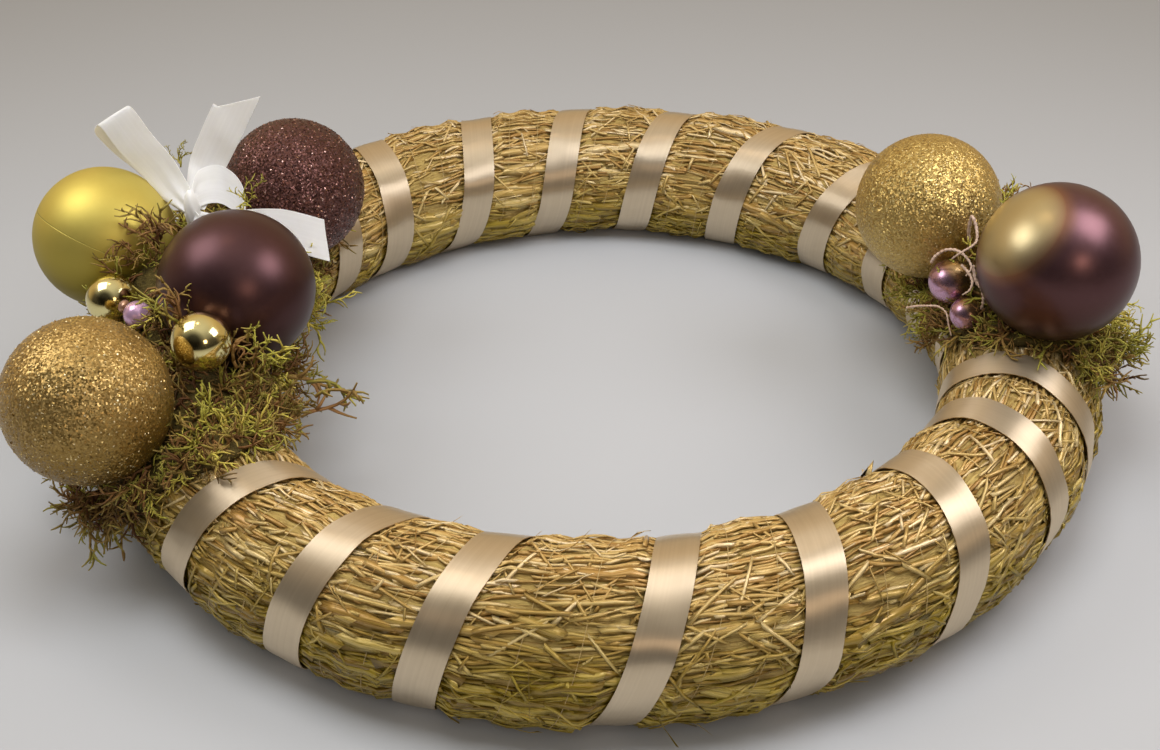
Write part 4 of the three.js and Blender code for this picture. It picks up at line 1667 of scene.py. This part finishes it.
def slant_end(mesh, centres, side, slant, width):
    """Cuts the last end of a strip on the skew."""
    points = points_of(mesh)
    tangent = centres[-1] - centres[-2]
    tangent /= np.linalg.norm(tangent)
    total = np.linalg.norm(centres[-1] - centres[0])
    along = (points - centres[-1]) @ tangent
    near = np.clip(1 + along / (SLANT_REACH * total), 0, 1)
    across = (points - centres[-1]) @ side / width
    set_points(mesh, points + tangent * (near * across * slant)[:, None])


KNOT_ROWS, KNOT_COLUMNS = 26, 36


def knot(material):
    """The pulled-tight turn of ribbon round the middle, with its gathered ends going down into the moss."""
    t, a = np.meshgrid(
        np.linspace(0, math.pi, KNOT_ROWS),
        2 * math.pi * np.arange(KNOT_COLUMNS) / KNOT_COLUMNS,
        indexing="ij",
    )
    creases = 1 + 0.05 * np.sin(5 * a + 3 * np.cos(t)) * np.sin(t)
    unit = np.stack([np.sin(t) * np.cos(a) * creases, np.sin(t) * np.sin(a) * creases, np.cos(t)], -1)
    points = from_ring(KNOT_AT) + unit * np.array(KNOT_SIZE) * MM / 2
    vertices = np.concatenate([points[:1, 0], points[1:-1].reshape(-1, 3), points[-1:, 0]])
    heights = np.linspace(STEM_FOOT, STEM_TOP, 12)
    stem = [from_ring((*STEM_AT, height)) for height in heights]
    radii = STEM_RADIUS * MM * (1 - 0.12 * np.cos(heights / 2.3))
    gathered = (vertices, ball_faces(KNOT_ROWS - 2, KNOT_COLUMNS))
    whole = merged("bow_knot", [gathered, tube(stem, radii, 12)])
    outward_faces(whole.data)
    hand_over(dress(whole, material), "white_satin", "bow")


# ---- tendrils -------------------------------------------------------------------------------------------

TENDRILS = [
    # thickness, and the points that each runs through, in millimetres from under the ring's middle
    (1.1, [(150, -4, 76), (148, -5, 86), (148, -8, 94), (149.5, -11, 90), (149, -15, 87), (146, -19, 86.5),
           (142, -22, 86), (139, -20, 82)]),
    (1.0, [(133, -12, 76), (134, -14, 80), (137, -15, 83), (141, -17, 84), (144.5, -20, 82.5), (146, -24, 80),
           (144, -25, 77)]),
    (1.1, [(147, -22, 80), (148, -26, 75), (149.5, -30, 74), (150, -32, 71), (150, -32, 67),
           (148.5, -29, 63)]),
    (0.7, [(124, -17, 58), (127, -20, 60.5), (130, -24, 63), (134, -28, 65), (136.5, -31, 64),
           (137.5, -33, 60), (139, -34, 55)]),
    (0.9, [(143, -20, 79), (145, -24, 78), (146, -28, 76), (144.5, -31, 74), (142, -31, 72)]),
]
BEADING = 0.28  # how much the tendrils swell and shrink along them
BEAD_PITCH = 1.8  # millimetres
TENDRIL_SHARE = 0.65  # of the listed thickness, as the radius at the root
TENDRIL_STEPS = 60
TENDRIL_CLEARANCE = 0.5 * MM  # between its middle and the baubles


def tendrils(material):
    parts = []
    for thickness, points in TENDRILS:
        path, _ = smooth_path(from_ring(points), TENDRIL_STEPS)
        run = run_of(step_lengths(path)) / MM
        beaded = 1 + BEADING * np.sin(2 * math.pi * run / BEAD_PITCH)
        tapered = 1 - 0.5 * (run / run[-1]) ** 2
        radius = TENDRIL_SHARE * thickness * MM * beaded * tapered
        parts.append(tube(kept_out_of_balls(path, TENDRIL_CLEARANCE), radius, 7))
    piece = merged("dry_tendrils", parts)
    outward_faces(piece.data)
    hand_over(dress(piece, material), "moss")


# ---- studio ---------------------------------------------------------------------------------------------

CAMERA_AT = (0, -571.6, 394.8)  # millimetres from under the ring's middle
CAMERA_AIM = (-7.7, -17.3, 28)
CAMERA_ROLL = math.radians(-1.235)
# The way to each lamp from the wreath, its distance and the side of its square face, in metres, its power and
# its colour. Gloss shows it only where it is mirrored.
LAMPS = {
    "left_window": ((-0.41, 0.0, 0.52), 0.66, 0.3, 0.95, (0.93, 0.95, 1.0), True),
    "right_window": ((0.41, -0.07, 0.49), 0.64, 0.28, 1.35, (0.95, 0.94, 1.0), True),
    "ceiling_lamp": ((-0.19, 0.16, 0.97), 1.4, 0.14, 0.4, (1.0, 0.7, 0.42), True),
    "room_lamp": ((0.39, -0.79, 0.48), 1.6, 0.3, 1.9, (1.0, 0.76, 0.55), True),
    "overhead_fill": ((-0.05, -0.22, 0.97), 0.8, 0.4, 3.5, (0.96, 0.98, 1.0), False),
    "front_fill": ((-0.12, -0.8, 0.58), 1.3, 0.9, 2.7, (0.96, 0.98, 1.0), False),
}
# The colours of the room in front of the wreath and behind it, from the bottom up.
FRONT_OF_ROOM = [
    (0.0, (0.03, 0.026, 0.022)),
    (0.45, (0.09, 0.075, 0.06)),
    (0.8, (0.46, 0.43, 0.38)),
    (1.0, (0.76, 0.71, 0.63)),
]
BACK_OF_ROOM = [
    (0.0, (0.5, 0.38, 0.22)),
    (0.42, (0.55, 0.39, 0.2)),
    (0.65, (0.68, 0.51, 0.3)),
    (1.0, (0.7, 0.64, 0.55)),
]
DARK_CORNER = (-0.28, -0.82, 0.5)  # the way to the dark end of the room
DARK_CORNER_LIGHT = 0.12  # what is left of the room's light there
TABLE_REACH = 3.0  # metres of cloth each way


def aimed(obj, at, facing, roll=0.0):
    """Puts a camera or a lamp at a place, looking along a direction."""
    look = facing.to_track_quat("-Z", "Y").to_matrix().to_4x4()
    obj.matrix_world = Matrix.Translation(at) @ look @ Matrix.Rotation(roll, 4, "Z")


def camera():
    data = bpy.data.cameras.new("camera")
    data.lens, data.sensor_width = 50, 36  # millimetres
    data.clip_start = 0.01
    view = linked("camera", data)
    at, aim = Vector(from_ring(CAMERA_AT)), Vector(from_ring(CAMERA_AIM))
    aimed(view, at, aim - at, CAMERA_ROLL)
    bpy.context.scene.camera = view


def lamp(name, toward, distance, side, power, colour, mirrored):
    data = bpy.data.lights.new(name, "AREA")
    data.size = side
    data.energy, data.color = power, colour
    light = linked(name, data)
    direction = Vector(toward).normalized()
    aimed(light, Vector(RING_CENTRE) + direction * distance, -direction)
    light.visible_glossy = mirrored
    light.visible_camera = False


def room():
    """The room that the wreath mirrors: bright above and behind, dark in front and at one end."""
    world = bpy.data.worlds.new("room")
    world.use_nodes = True
    tree = world.node_tree
    toward = out(place(tree, "ShaderNodeTexCoord"), "Generated")
    upward = axis_of(tree, toward, "Z")
    behind = in_range(tree, axis_of(tree, toward, "Y"), -0.25, 0.3)
    walls = mixed(tree, behind, ramp(tree, upward, *FRONT_OF_ROOM), ramp(tree, upward, *BACK_OF_ROOM))
    near_corner = measured(tree, "DOT_PRODUCT", toward, DARK_CORNER)
    dimmed = in_range(tree, near_corner, 0.7, 0.93, 1.0, DARK_CORNER_LIGHT)
    tree.links.new(mixed(tree, 1.0, walls, dimmed, "MULTIPLY"), tree.nodes["Background"].inputs["Color"])
    bpy.context.scene.world = world


def studio(material):
    for name, settings in LAMPS.items():
        lamp(name, *settings)
    room()
    bpy.context.scene.view_settings.view_transform = "Standard"
    corners = TABLE_REACH * np.array([(-1, -1, 0), (1, -1, 0), (1, 1, 0), (-1, 1, 0)])
    floor = mesh_object("floor", corners, [(0, 1, 2, 3)], smooth=False)
    dress(floor, material)


# ---- the wreath -----------------------------------------------------------------------------------------

camera()
materials = finishes()
bound_straw(materials)
binding_thread(materials["thread"])
wound_ribbon(materials["champagne"])
moss(materials)
baubles(materials)
knot(materials["knot"])
for strip in BOW_STRIPS:
    bow_strip(strip, materials["white"])
tendrils(materials["curls"])
studio(materials["cloth"])
